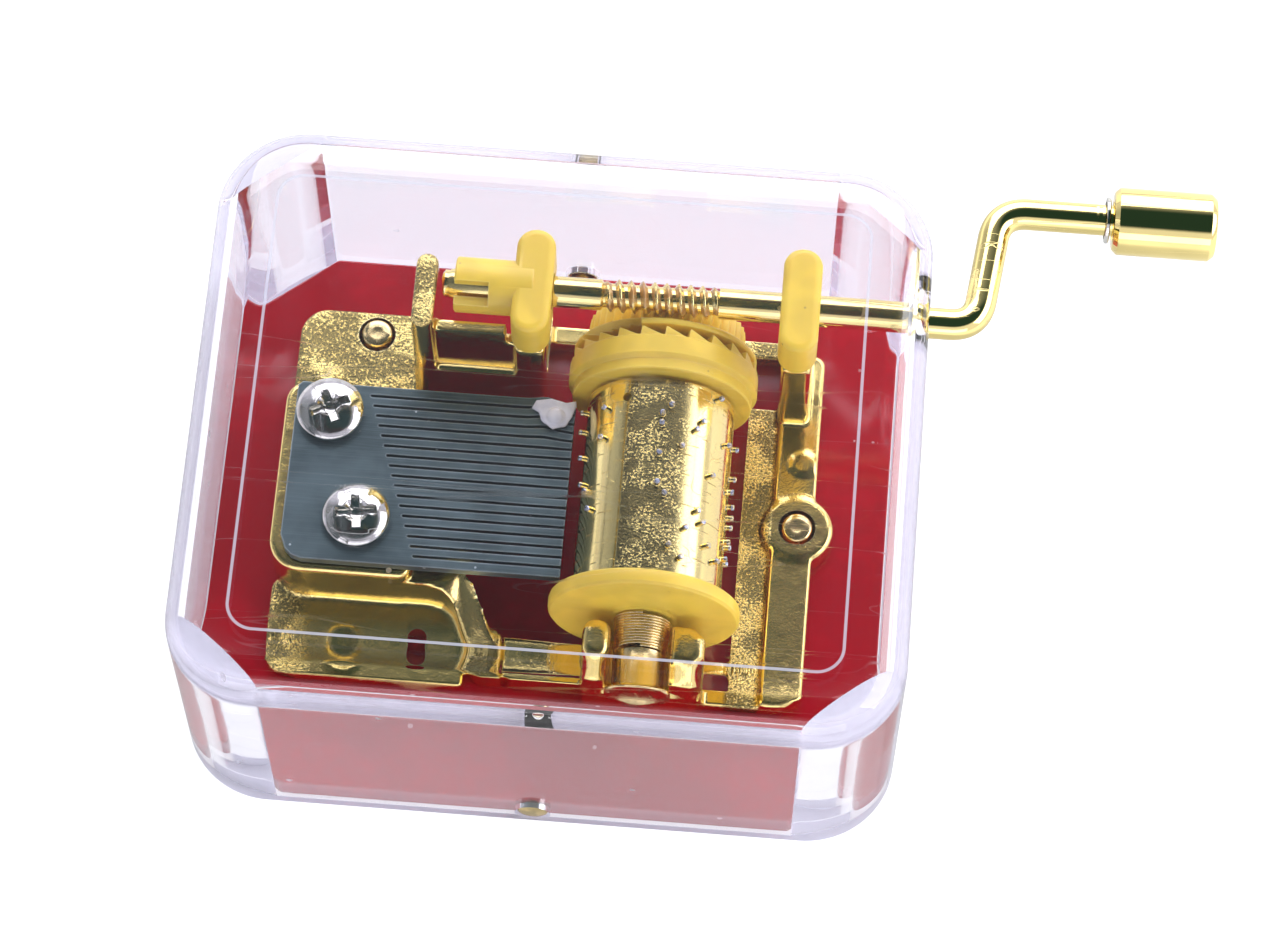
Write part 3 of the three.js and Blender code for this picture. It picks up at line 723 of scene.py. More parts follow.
def moulded_nylon(look):
    """Slightly translucent moulded nylon with worn, paler edges and specks of metal dust."""
    material, tree, shader, _ = surface(
        "moulded_nylon", Subsurface_Weight=0.25, Subsurface_Radius=(0.0012, 0.0008, 0.0003),
        Subsurface_Scale=1.0)
    skin = tree.group("grain", scale=1600.0, patch_scale=180.0, patchiness=0.5)
    specks = tree.group("dust", scale=1100.0, size=0.14, share=0.05)
    lines = tree.group("scratches", scale=520.0, amount=0.6)
    wear = tree.group("edge_wear", strength=0.7)
    tone = tree.mix(skin.outputs["Patch"], shade(look.nylon, 0.9), shade(look.nylon, 1.05))
    tone = tree.mix(wear, tone, (0.93, 0.72, 0.22, 1))
    tone = tree.mix(tree.times(specks, 0.6), tone, (0.35, 0.22, 0.06, 1))
    tree.wire(shader, Base_Color=tone, Roughness=tree.ramp(skin, 0.2, 0.8, 0.3, 0.46))
    bumped(tree, shader, tree.minus(skin, lines), 0.015, 0.5)
    return material


def greased_gold(look):
    """The worm's thread with a smear of grease: brown, less metallic, coated blots in a noise pattern."""
    material, tree, shader, _ = surface("greased_gold")
    place = tree.place()
    blot = tree.noise(place, 700.0, 3.0)
    wet = tree.ramp(blot, 0.4, 0.62)
    tree.wire(shader, Base_Color=tree.mix(wet, shade(look.polish, 0.9), (0.45, 0.22, 0.04, 1)))
    tree.wire(shader, Metallic=tree.ramp(wet, 0.0, 1.0, 1.0, 0.35))
    tree.wire(shader, Roughness=tree.ramp(wet, 0.0, 1.0, 0.12, 0.22))
    tree.wire(shader, Coat_Weight=wet)
    bumped(tree, shader, blot, 0.05, 0.6)
    return material


def cloudy_film(look):
    material, tree, shader, _ = surface("cloudy_film", Coat_Weight=0.5)
    skin = tree.group("grain", scale=1200.0, patch_scale=500.0, patchiness=0.5)
    tree.wire(
        shader, Base_Color=tree.mix(skin.outputs["Patch"], (0.72, 0.73, 0.80, 1), (0.86, 0.87, 0.92, 1)),
        Roughness=tree.ramp(skin, 0.2, 0.8, 0.15, 0.4),
    )
    bumped(tree, shader, skin, 0.05, 0.7)
    return material


def stage_paper(look):
    """The stage: pale paper that glows a little, so that it stays even, with a painted shadow round the box
    that only reflections show.
    """
    material, tree, shader, _ = surface(
        "stage_paper", Base_Color=(0.35, 0.35, 0.35, 1), Roughness=0.9, Emission_Color=(0.98, 0.985, 1.0, 1))
    path = tree.add("ShaderNodeLightPath")
    place = tree.place()
    away = tree.add("ShaderNodeVectorMath", operation="LENGTH", inputs={0: place}).outputs["Value"]
    mirrored = tree.minus(path.outputs["Is Glossy Ray"], path.outputs["Is Transmission Ray"])
    # painted shadow: the glow is dimmed round the box where glossy rays see the floor
    near = tree.times(tree.ramp(away, 0.045, 0.085, 1.0, 0.0), tree.most(mirrored, 0.0))
    painted_shadow_dimming = tree.minus(1.0, tree.times(near, 0.65))
    tree.feed(shader.inputs["Emission Strength"], tree.times(painted_shadow_dimming, look.floor_glow))
    return material

# ---- Sizes, in millimetres -----------------------------------------------------------------------

# the case: its outside, the curve of its top edge, its walls and its cut inner corners
LID_LOW, LID_HIGH = mm_box("clear_lid")
CASE_W, CASE_D, CASE_H = LID_HIGH - LID_LOW
CORNER_R, EDGE_W, EDGE_H = 8.0, 5.65, 4.1
EDGE_POWER = 2.3
WALL, GAP = 1.8, 0.3
LEG_X, LEG_Y = 7.0, 5.6
# how far the hollow steps in from the walls, and at what height
INNER_EDGE = [
    (0, -1), (0, 24.3), (0.06, 24.75), (0.25, 25.12), (0.5, 25.38), (0.85, 25.6), (1.3, 25.78), (1.8, 25.91),
    (2.3, 26.0),
]
PIN_Z = 1.95
CRANK_HOLE_R, PIN_HOLE_R = 3.9, 1.6
SCREW_HOLE_R = 1.7

# the cylinder's axis, the crank's shaft and the knob
CAP_LOW, CAP_HIGH = mm_box("front_end_cap")
AXIS_X, _, AXIS_Z = (CAP_LOW + CAP_HIGH) / 2
DISC_R = (CAP_HIGH.x - CAP_LOW.x) / 2
BUSHING_LOW, BUSHING_HIGH = mm_box("right_bushing")
RIGHT_BUSH_X, SHAFT_Y, _ = (BUSHING_LOW + BUSHING_HIGH) / 2
LEFT_BUSH_X = -3.35
KNOB_LOW, KNOB_HIGH = mm_box("crank_knob")
KNOB_X0, KNOB_X1 = KNOB_LOW.x, KNOB_HIGH.x
KNOB_R = (KNOB_HIGH.z - KNOB_LOW.z) / 2
SHAFT_Z = (KNOB_LOW.z + KNOB_HIGH.z) / 2
HANDLE_OFFSET = (KNOB_LOW.y + KNOB_HIGH.y) / 2 - SHAFT_Y
ROD_R = 1.4

# the casting: heights of its steps, then its ends and bars
FLOOR_Z, SHELF_Z, LUG_Z, PEDESTAL_Z, FORK_Z, POST_Z = 3.3, 5.0, 6.2, 11.2, 17.5, 22.5
FRONT_Y = -16.0
BED_X0, BED_X1, RAIL_X0 = -25.3, 23.3, 19.4
FORK_HALF_W, FORK_HALF_D, FORK_ARM = 1.35, 4.8, 2.0
BAR_FRONT_Y, BAR_BACK_Y = 11.2, 12.2
CRADLE_Z, EAR_LEFT_Z, EAR_RIGHT_Z = 9.0, 14.4, 14.0
BUSH_ROOM = 2.65
CRADLE_Y0, CRADLE_Y1 = mm_box("bed_frame")[0].y, -13.1
BUSH_Y = mm_box("front_bearing_bush")[0].y + 0.1

# the comb and the screws
NOTES = 18
COMB_X0, COMB_Y0, _ = mm_box("comb")[0]
COMB_X1, COMB_Y1, COMB_TOP = mm_box("comb")[1]
COMB_LOW = COMB_TOP - 1
COMB_HOLE_R = 1.6
SLIT_END_REAR, SLIT_END_FRONT = -17.6, -12.3
PITCH = (COMB_Y1 - COMB_Y0) / NOTES
SEAT_Z = 12.8
COMB_SCREWS = {"rear": (-21.0, 5.4), "front": (-17.6, -4.65)}
MOUNT_SCREWS = {"left": (-18.2, 16.3), "right": (21.75, 0.1)}

# the cylinder, the wheel and the worm
SHELL_R, SHELL_Y0, SHELL_Y1 = 6.7, -10.3, 8.45
ARBOR_R = 1.1
ARBOR_BORE_R = ARBOR_R + GAP
BORE_R = ROD_R + GAP
WHEEL_TEETH, WHEEL_PITCH_R = 42, 7.15
WORM_PITCH, WORM_CORE = TAU * WHEEL_PITCH_R / WHEEL_TEETH, 1.1
WORM_X0, WORM_TURNS = AXIS_X - 5.25 * WORM_PITCH, 9.5


def size(name):
    """A size that a user may change, in millimetres."""
    return getattr(bpy.context.scene.music_box_sizes, name) / MM


# ---- Case and base -------------------------------------------------------------------------------

def lid_piece():
    rings = []

    def ring(step_in, z):
        outline = rounded_outline(
            step_in - CASE_W / 2, CASE_W / 2 - step_in, step_in - CASE_D / 2, CASE_D / 2 - step_in,
            CORNER_R - step_in, 24)
        rings.append(flat(outline, z))

    ring(0.12, 0.0)
    ring(0.0, 0.12)
    steps = 28
    for k in range(steps + 1):
        a = math.pi / 2 * k / steps
        ring(
            EDGE_W * (1 - math.cos(a) ** (2 / EDGE_POWER)),
            CASE_H - EDGE_H + EDGE_H * math.sin(a) ** (2 / EDGE_POWER),
        )
    lid = loose("clear_case", [loft(rings)])
    hx, hy = CASE_W / 2 - WALL, CASE_D / 2 - WALL
    rings = [
        flat([(hx - i, i - hy), (hx - i, hy - i), (i - hx, hy - i), (i - hx, i - hy)], z)
        for i, z in INNER_EDGE
    ]
    hollow = loose("hollow", [loft(rings)])
    combine(hollow, [[prism(cut_outline(hx, hy, LEG_X, LEG_Y), -2, CASE_H)]], "INTERSECT")
    crank_hole = moved(barrel(CRANK_HOLE_R, 27, 34, 64, "X"), 0, SHAFT_Y, SHAFT_Z)
    pin_holes = moved(barrel(PIN_HOLE_R, -30, 30, 40, "Y"), 0, 0, PIN_Z)
    combine(lid, [hollow, [crank_hole], [pin_holes]], "DIFFERENCE")
    return weighted(crisp(lid, 12))


def base_piece():
    hx, hy = CASE_W / 2 - WALL - GAP, CASE_D / 2 - WALL - GAP
    base = loose("red_base", [prism(cut_outline(hx, hy, LEG_X, LEG_Y), 0, 3)])
    rounded(base, 0.25, 3)
    for x, y in MOUNT_SCREWS.values():
        bore = [(0, -1), (2.95, -1), (2.95, 2), (SCREW_HOLE_R, 2), (SCREW_HOLE_R, 4), (0, 4)]
        combine(base, [[moved(turned(bore, 48, "Z"), x, y)]], "DIFFERENCE")
    pin_bores = barrel(1, -27, -21.1, 24, "Y")
    combine(base, [[moved(pin_bores, z=PIN_Z)], [moved(spun(pin_bores, 180), z=PIN_Z)]], "DIFFERENCE")
    return weighted(crisp(base, 30))


def case_pin(side):
    face, inner = CASE_D / 2, CASE_D / 2 - WALL
    profile = [
        (0, inner - 3.7), (0.5, inner - 3.7), (0.7, inner - 3.3), (0.7, inner), (1.42, inner),
        (1.42, face - 0.35), (1.36, face - 0.22), (1.15, face - 0.1), (0.8, face - 0.03), (0.4, face),
        (0, face),
    ]
    name, degrees = ("back_pin", 0) if side > 0 else ("front_pin", 180)
    return crisp(loose(name, [moved(spun(turned(profile, 40, "Y"), degrees), z=PIN_Z)]), 40)


def mount_screw(side, x, y):
    profile = [
        (0, 0.3), (2.35, 0.3), (2.55, 0.42), (2.6, 0.6), (2.6, 1.7), (1.4, 1.7), (1.4, 6.32), (1.3, 6.5),
        (1.1, 6.6), (0.5, 6.55), (0, 6.5),
    ]
    screw = loose(f"mount_screw_{side}", [moved(turned(profile, 40, "Z"), x, y)])
    cross = [moved(spun(brick(-1.5, 1.5, -0.35, 0.35, -1, 1.1), 30), x, y)]
    combine(screw, [cross, [moved(spun(brick(-1.5, 1.5, -0.35, 0.35, -1, 1.1), 120), x, y)]], "DIFFERENCE")
    return crisp(screw, 35)


# ---- Bed frame -----------------------------------------------------------------------------------

def sloped(outline, z0, top):
    """A prism whose top follows a height function of x and y."""
    return loft([flat(outline, z0), [(x, y, top(x, y)) for x, y in outline]])


def fork(x):
    x0, x1 = x - FORK_HALF_W, x + FORK_HALF_W
    y0, y1 = SHAFT_Y - FORK_HALF_D, SHAFT_Y + FORK_HALF_D
    return [
        softened(rounded_outline(x0, x1, y0, y0 + FORK_ARM, 0.4, 3), FLOOR_Z, FORK_Z, 0.3),
        softened(rounded_outline(x0, x1, y1 - FORK_ARM, y1, 0.4, 3), FLOOR_Z, FORK_Z, 0.3),
        brick(x0, x1, y0 + 0.5, y1 - 0.5, FLOOR_Z, 9),
    ]


def bed_shapes():
    wall_top = lambda x, y: 9.6 if y > -9.5 else max(6.3, 9.6 + (y + 9.5) * 0.9)
    s_wall = [
        (-14, -7), (-14, -9.45), (-10.9, -9.45), (-9.6, -9.75), (-8.8, -10.3), (-8.25, -11), (-7.95, -11.8),
        (-7.4, -13), (-6.6, -14.4), (-5.6, -15.2), (-3.8, -15.2), (-4, -12.5), (-5, -12.1), (-5.9, -10.6),
        (-6.9, -8.8), (-8.1, -7.4),
    ]
    ledge = [(-3.0, FRONT_Y + 0.8), (5, FRONT_Y + 0.8), (5, -12.7), (-4, -12.5), (-4.4, -13.5)]
    shapes = [
        softened(rounded_outline(BED_X0, -14.2, 6, 18.6, (1.0, 1.0, 2.6, 1.0), 8), FLOOR_Z, LUG_Z, 0.3),
        softened(rounded_outline(BED_X0, -12.4, -9.55, 9, (1.2, 1.5, 2, 3.0), 8), FLOOR_Z, PEDESTAL_Z, 0.35),
        softened(rounded_outline(BED_X0, -7.2, FRONT_Y, -8, (0.6, 1, 1, 2.4), 8), FLOOR_Z, SHELF_Z, 0.25),
        sloped(s_wall, FLOOR_Z, wall_top),
        softened(ledge, FLOOR_Z, 6.3, 0.3),
        # cradle and its ears
        softened(rounded_outline(3.5, 14, CRADLE_Y0, CRADLE_Y1, 0.5, 3), FLOOR_Z, CRADLE_Z, 0.3),
        softened(
            rounded_outline(3.5, AXIS_X - BUSH_ROOM, CRADLE_Y0, CRADLE_Y1, 1.2, 6),
            FLOOR_Z, EAR_LEFT_Z, 0.8, 5,
        ),
        softened([
            (AXIS_X + BUSH_ROOM, CRADLE_Y0 + 0.3), (13.4, CRADLE_Y0), (14.4, CRADLE_Y0 + 1),
            (14.4, CRADLE_Y1 - 1), (13.2, CRADLE_Y1), (AXIS_X + BUSH_ROOM, CRADLE_Y1),
        ], FLOOR_Z, EAR_RIGHT_Z, 0.75, 5),
        # right side
        softened(
            rounded_outline(13, BED_X1, FRONT_Y, -12.8, (2.4, 0.3, 0.3, 0.8), 8), FLOOR_Z, SHELF_Z, 0.3),
        softened(rounded_outline(RAIL_X0, BED_X1, FRONT_Y, 17.5, (2.4, 1, 1, 0.5), 8), FLOOR_Z, LUG_Z, 0.3),
        brick(16.6, 20, -14.5, BAR_BACK_Y, FLOOR_Z, SHELF_Z),
        moved(
            turned([(0, FLOOR_Z), (3.3, FLOOR_Z), (3.3, 6.0), (3.1, 6.3), (2.8, 6.4), (0, 6.4)], 64, "Z"),
            *MOUNT_SCREWS["right"],
        ),
        moved(
            turned([(0, FLOOR_Z), (1.15, FLOOR_Z), (1.15, 6.3), (1.0, 6.38), (0, 6.38)], 40, "Z"), 21.9, 6.5,
        ),
        *fork(LEFT_BUSH_X),
        *fork(RIGHT_BUSH_X),
        brick(-14, -3.6, BAR_FRONT_Y, BAR_BACK_Y, FLOOR_Z, FORK_Z),
        brick(-14, -5.5, BAR_FRONT_Y, BAR_BACK_Y, FORK_Z - 0.1, 19.4),
        brick(-14, -3.6, 10.6, BAR_BACK_Y, FLOOR_Z, 12),
        softened(rounded_outline(-13.9, -11.9, 10.1, 17.3, 0.95, 6), FLOOR_Z, POST_Z, 0.4),
        brick(-15.5, -12.5, 10.5, 13, FLOOR_Z, LUG_Z),
        brick(-4, 20, 17.3, 19, FLOOR_Z, SHELF_Z),
        softened(rounded_outline(AXIS_X - 2.6, AXIS_X + 2.6, 17.3, 19, 0.5, 4), FLOOR_Z, 14.4, 0.5),
        # raised ejector rings
        moved(
            turned([(0, 4.5), (1.5, 4.5), (1.5, 5.12), (1.25, 5.12), (1.05, 5.0), (0, 5.0)], 48, "Z"), -18.2,
            -13.8,
        ),
        moved(turned([(0, 5.5), (1.1, 5.5), (1.1, 6.4), (0.8, 6.5), (0, 6.45)], 40, "Z"), -22.4, 11.6),
    ]
    return shapes


def bed_piece():
    bed = loose("gold_bed", bed_shapes())
    melted(bed, size("cast_detail"), 4)
    cuts = [
        [moved(barrel(ARBOR_BORE_R, 16, 20, 40, "Y"), AXIS_X, 0, AXIS_Z)],
        [moved(turned([(0, 0), (0.85, 0), (0.85, 4.9), (1.0, 6), (0, 6)], 40, "Z"), -11.65, -12.85)],
        *([moved(barrel(SCREW_HOLE_R, 0, 8, 40, "Z"), *place)] for place in MOUNT_SCREWS.values()),
        *([moved(barrel(COMB_HOLE_R, 5, 12, 40, "Z"), *place)] for place in COMB_SCREWS.values()),
    ]
    combine(bed, cuts, "DIFFERENCE")
    return crisp(bed, 55)


# ---- Comb ----------------------------------------------------------------------------------------

def tooth_y(note):
    return COMB_Y0 + (note + 0.5) * PITCH


def sprung(x, y):
    """The rear teeth are bent sideways near their tips."""
    share = min(1.0, max(0.0, (y - 3.4) / 3))
    tip = min(1.0, max(0.0, (x + 1.7) / 2.7))
    return (x, y + share * (0.22 * math.exp(-((x + 1.7) / 1.0) ** 2) - 0.42 * tip * tip * (3 - 2 * tip)))


def comb_piece():
    half = size("slit_width") / 2
    tips = [COMB_X1, 0.5, 0.0, -0.5, -1.0, -1.5, -2.0, -2.6, -3.3, -4.5]
    outline = [(COMB_X0 + 2.0, COMB_Y0), (COMB_X1, COMB_Y0)]
    for k in range(1, NOTES):
        share = (k - 1) / (NOTES - 2)
        root = SLIT_END_FRONT + share * (SLIT_END_REAR - SLIT_END_FRONT)
        y = COMB_Y0 + k * PITCH
        outline += [sprung(x, y - half) for x in tips]
        outline += [(root + 0.1, y - half), (root, y), (root + 0.1, y + half)]
        outline += [sprung(x, y + half) for x in tips[::-1]]
    outline += [sprung(x, COMB_Y1) for x in tips]
    outline += [
        (COMB_X0 + 0.4, COMB_Y1), (COMB_X0, COMB_Y1 - 0.4), (COMB_X0, COMB_Y0 + 2.2),
        (COMB_X0 + 0.5, COMB_Y0 + 0.9), (COMB_X0 + 1.1, COMB_Y0 + 0.3),
    ]
    comb = loose("steel_comb", [prism(outline, COMB_LOW, COMB_TOP)])
    rounded(comb, 0.05, 2, 50)
    holes = [[moved(barrel(COMB_HOLE_R, 11, 13, 40, "Z"), x, y)] for x, y in COMB_SCREWS.values()]
    combine(comb, holes, "DIFFERENCE")
    weights = []
    for note in range(NOTES - 9, NOTES):
        y = tooth_y(note)
        weights.append(brick(-3.6, -0.4, y - 0.3, y + 0.3, COMB_LOW - 1.7, COMB_LOW + 0.2))
    combine(comb, [weights], "UNION")
    return weighted(crisp(comb, 30))


def comb_screw(end, x, y, turn):
    seat, radius = SEAT_Z, size("screw_head") / 2
    profile = [
        (0, 5.3), (1.3, 5.3), (1.3, seat), (radius - 0.1, seat), (radius, seat + 0.1), (radius, seat + 0.42),
        (radius - 0.08, seat + 0.55), (radius - 0.5, seat + 0.86), (radius - 1.1, seat + 1.16),
        (1.3, seat + 1.36), (0.6, seat + 1.47), (0, seat + 1.5),
    ]
    screw = loose(f"comb_screw_head_{end}", [moved(turned(profile, 72, "Z"), x, y)])
    bowl = turned([(0, seat + 0.35), (0.5, seat + 0.45), (1.25, seat + 1.6), (0, seat + 1.6)], 24, "Z")
    tools = [[moved(bowl, x, y)]]
    for arm, length, width in ((0, 2.25, 0.36), (90, 1.9, 0.34)):
        low, high = seat + 0.62, seat + 2
        slot = loft([
            [
                (-length * 0.7, -width, low), (length * 0.7, -width, low), (length * 0.7, width, low),
                (-length * 0.7, width, low),
            ],
            [
                (-length, -width * 1.3, high), (length, -width * 1.3, high), (length, width * 1.3, high),
                (-length, width * 1.3, high),
            ],
        ])
        tools.append([moved(spun(slot, turn + arm), x, y)])
    combine(screw, tools, "DIFFERENCE")
    rounded(screw, 0.06, 2, 40)
    return crisp(screw, 32)


def film_piece():
    z = SEAT_Z
    outline = [
        (-3.0, 7.1), (-2.3, 6.7), (-2.0, 5.9), (-0.9, 5.1), (0.3, 5.5), (0.8, 6.4), (1.15, 7.6),
        (1.05, 8.15), (0.2, 7.9), (-1.2, 8.2), (-2.6, 7.9),
    ]
    sheet = loft([
        [(x, y, z + 0.06 * math.sin(x * 3 + y * 2)) for x, y in outline],
        [(x, y, z + 0.2 + 0.08 * math.sin(x * 3 + y * 2)) for x, y in inset(outline, 0.08)],
    ])
    drop = moved(
        turned(
            [(0, z), (0.85, z), (0.9, z + 0.2), (0.72, z + 0.45), (0.4, z + 0.6), (0, z + 0.65)], 24, "Z",
        ),
        -0.7, 6.4,
    )
    film = loose("glue_film", [sheet, drop])
    melted(film, 0.08, 6)
    return crisp(film, 80)


# ---- Cylinder group --------------------------------------------------------------------------------

TUNE = [
    (15, -44), (12, -45), (15, 9), (14, 3), (13, 3), (10, 3), (7, 3), (17, 50), (14, 35), (13, 30), (11, 19),
    (9, 47), (13, 65), (14, 91), (11, 92), (16, -80), (14, -80), (11, -73), (8, -67), (7, -59), (5, -53),
    (6, 9), (5, 36), (4, 41), (3, 27), (1, 15), (0, 25), (2, 48), (1, 60), (2, 75), (4, 80), (4, 91),
    (9, 79), (8, 89), (7, 91), (6, 91),
] + [((7 * k + 3) % 18, 104 + 13 * k) for k in range(12)]


def on_axis(shape):
    return moved(shape, AXIS_X, 0, AXIS_Z)


def shell_piece():
    inner = SHELL_R - 0.5
    profile = [
        (inner, SHELL_Y0), (SHELL_R - 0.08, SHELL_Y0), (SHELL_R, SHELL_Y0 + 0.08),
        (SHELL_R, SHELL_Y1 - 0.08), (SHELL_R - 0.08, SHELL_Y1), (inner, SHELL_Y1),
    ]
    shell = loose("brass_drum", [on_axis(turned(profile, 160, "Y"))])
    seam = spun(brick(-0.07, 0.07, SHELL_Y0 - 1, SHELL_Y1 + 1, SHELL_R - 0.22, SHELL_R + 1), -25, "Y")
    hole = spun(moved(barrel(0.42, inner - 1, 9, 24, "Z"), 0, tooth_y(15.8)), -26, "Y")
    combine(shell, [[on_axis(seam)], [on_axis(hole)]], "DIFFERENCE")
    crisp(shell, 30)
    pins, tips = [], []
    thick, tall = size("pin_width") / 2, SHELL_R + size("pin_height")
    for note, degrees in TUNE:
        body = turned([
            (0, SHELL_R - 0.25), (thick + 0.04, SHELL_R - 0.25), (thick + 0.04, SHELL_R + 0.02),
            (thick, SHELL_R + 0.06), (thick, tall - 0.26), (0, tall - 0.26),
        ], 12, "Z")
        tip = turned([
            (0, tall - 0.3), (thick + 0.005, tall - 0.3), (thick + 0.005, tall - 0.1),
            (thick - 0.05, tall - 0.02), (0, tall),
        ], 12, "Z")
        pins.append(on_axis(spun(moved(body, 0, tooth_y(note)), degrees, "Y")))
        tips.append(on_axis(spun(moved(tip, 0, tooth_y(note)), degrees, "Y")))
    pin_object = crisp(loose("drum_pins", pins), 40)
    tip_object = crisp(loose("drum_pin_tips", tips), 40)
    return shell, pin_object, tip_object


def stepped_ring(profile_at, samples):
    """A closed ring whose cross-section changes with the angle; samples are angles in radians."""
    rings = []
    for a in samples:
        rings.append([(r * math.sin(a), h, r * math.cos(a)) for r, h in profile_at(a)])
    return loft(rings, closed=True)


def rear_cap_piece():
    face = SHELL_Y1 + 0.3
    ring = face + 3.15
    bore = ARBOR_BORE_R
    body = turned([
        (bore, face - 3), (5.9, face - 3), (5.9, face), (8.0, face), (8.1, face + 0.1), (8.1, face + 1.0),
        (8.3, face + 1.15), (DISC_R - 0.1, face + 1.25), (DISC_R, face + 1.4), (DISC_R, ring - 0.12),
        (DISC_R - 0.1, ring), (bore, ring),
    ], 128, "Y")
    teeth, step, height = 24, TAU / 24, size("ratchet_height")
    samples = []
    for k in range(teeth):
        samples += [
            k * step, k * step + 0.012, k * step + 0.03, k * step + step * 0.35, k * step + step * 0.7,
            (k + 1) * step - 0.03,
        ]

    def section(a):
        share = (a / step) % 1.0
        if share < 0.02:
            rise = 0.05
        elif share < 0.08:
            rise = height
        else:
            rise = height * max(0.05, 1 - (share - 0.08) / 0.8)
        return [
            (7.25, ring - 0.3), (8.42, ring - 0.3), (8.42, ring + rise - 0.04), (8.36, ring + rise),
            (7.3, ring + rise), (7.25, ring + rise - 0.04),
        ]

    cap = loose("rear_cap", [on_axis(body)])
    combine(cap, [[on_axis(stepped_ring(section, samples))]], "UNION")
    return weighted(crisp(cap, 32))


def front_cap_piece():
    face = SHELL_Y0 - 0.3
    back = face + 3
    profile = [
        (ARBOR_BORE_R, face - 1.6), (2.9, face - 1.6), (3.1, face - 1.5), (7.9, face - 1.5),
        (8.3, face - 1.42), (8.5, face - 1.2), (DISC_R, face - 0.95), (DISC_R, face - 0.4),
        (8.48, face - 0.15), (8.3, face), (5.9, face), (5.9, back), (ARBOR_BORE_R, back),
    ]
    return weighted(crisp(loose("front_cap", [on_axis(turned(profile, 128, "Y"))]), 30))


def wheel_piece():
    step = TAU / WHEEL_TEETH
    front, back = 13.6, 16.4
    rings = []
    layers = 7
    for k in range(layers):
        share = k / (layers - 1)
        y = front + share * (back - front)
        twist = (share - 0.5) * 0.042
        narrow = 0.12 * (2 * share - 1) ** 2
        ring = []
        for t in range(WHEEL_TEETH):
            centre = t * step + twist
            for r, off in (
                (6.5, -0.44), (6.62, -0.30), (7.02 - narrow, -0.15), (7.14 - narrow, -0.05),
                (7.14 - narrow, 0.05), (7.02 - narrow, 0.15), (6.62, 0.30), (6.5, 0.44),
            ):
                a = centre + off * step
                ring.append((r * math.sin(a), y, r * math.cos(a)))
        rings.append(ring)
    wheel = loose("worm_wheel_nylon", [on_axis(loft(rings))])
    disc = turned([
        (0, 13.0), (7.9, 13.0), (8.2, 13.08), (8.3, 13.25), (8.3, 13.5), (8.15, 13.65), (0, 13.65),
    ], 128, "Y")
    plate = loose("disc_tool", [on_axis(disc)])
    combine(plate, [[on_axis(brick(-12, -2.2, 12, 13.62, 3.4, 12))]], "DIFFERENCE")
    combine(wheel, [plate], "UNION")
    combine(wheel, [[on_axis(barrel(ARBOR_BORE_R, 0, 20, 40, "Y"))]], "DIFFERENCE")
    return weighted(crisp(wheel, 30))


def arbor_piece():
    profile = [
        (0, BUSH_Y + 1.65), (0.9, BUSH_Y + 1.65), (ARBOR_R, BUSH_Y + 1.8), (ARBOR_R, 18.3), (0.9, 18.6),
        (0, 18.6),
    ]
    return crisp(loose("steel_arbor", [on_axis(turned(profile, 40, "Y"))]), 35)


def spring_piece():
    y0, y1, turns, wire = -15.4, -12.4, 12, size("spring_wire") / 2
    path = []
    for k in range(turns * 28 + 1):
        t = k / (turns * 28)
        radius = 2.2 + 0.33 * t
        a = TAU * turns * t
        path.append((AXIS_X + radius * math.sin(a), y0 + (y1 - y0) * t, AXIS_Z + radius * math.cos(a)))
    return crisp(loose("coil_spring", [swept(path, wire, 8)]), 80)


def bush_piece():
    front = BUSH_Y
    profile = [
        (0, front + 1.3), (1.45, front + 1.3), (1.45, front + 2.9), (2.2, front + 2.9), (2.3, front + 2.8),
        (2.3, front + 1.0), (2.5, front + 0.7), (2.9, front + 0.45), (2.95, front + 0.3),
        (2.93, front + 0.08), (2.8, front), (2.3, front + 0.02), (1.9, front + 0.22), (1.0, front + 0.4),
        (0, front + 0.45),
    ]
    return crisp(loose("front_bush", [on_axis(turned(profile[::-1], 72, "Y"))]), 40)


# ---- Crank -----------------------------------------------------------------------------------------

def shaft(shape):
    return moved(shape, 0, SHAFT_Y, SHAFT_Z)


def curve_points(start, bend, end, steps):
    start, bend, end = Vector(start), Vector(bend), Vector(end)
    return [
        tuple(start * (1 - t) ** 2 + bend * 2 * t * (1 - t) + end * t * t)
        for t in (k / steps for k in range(steps + 1))
    ]


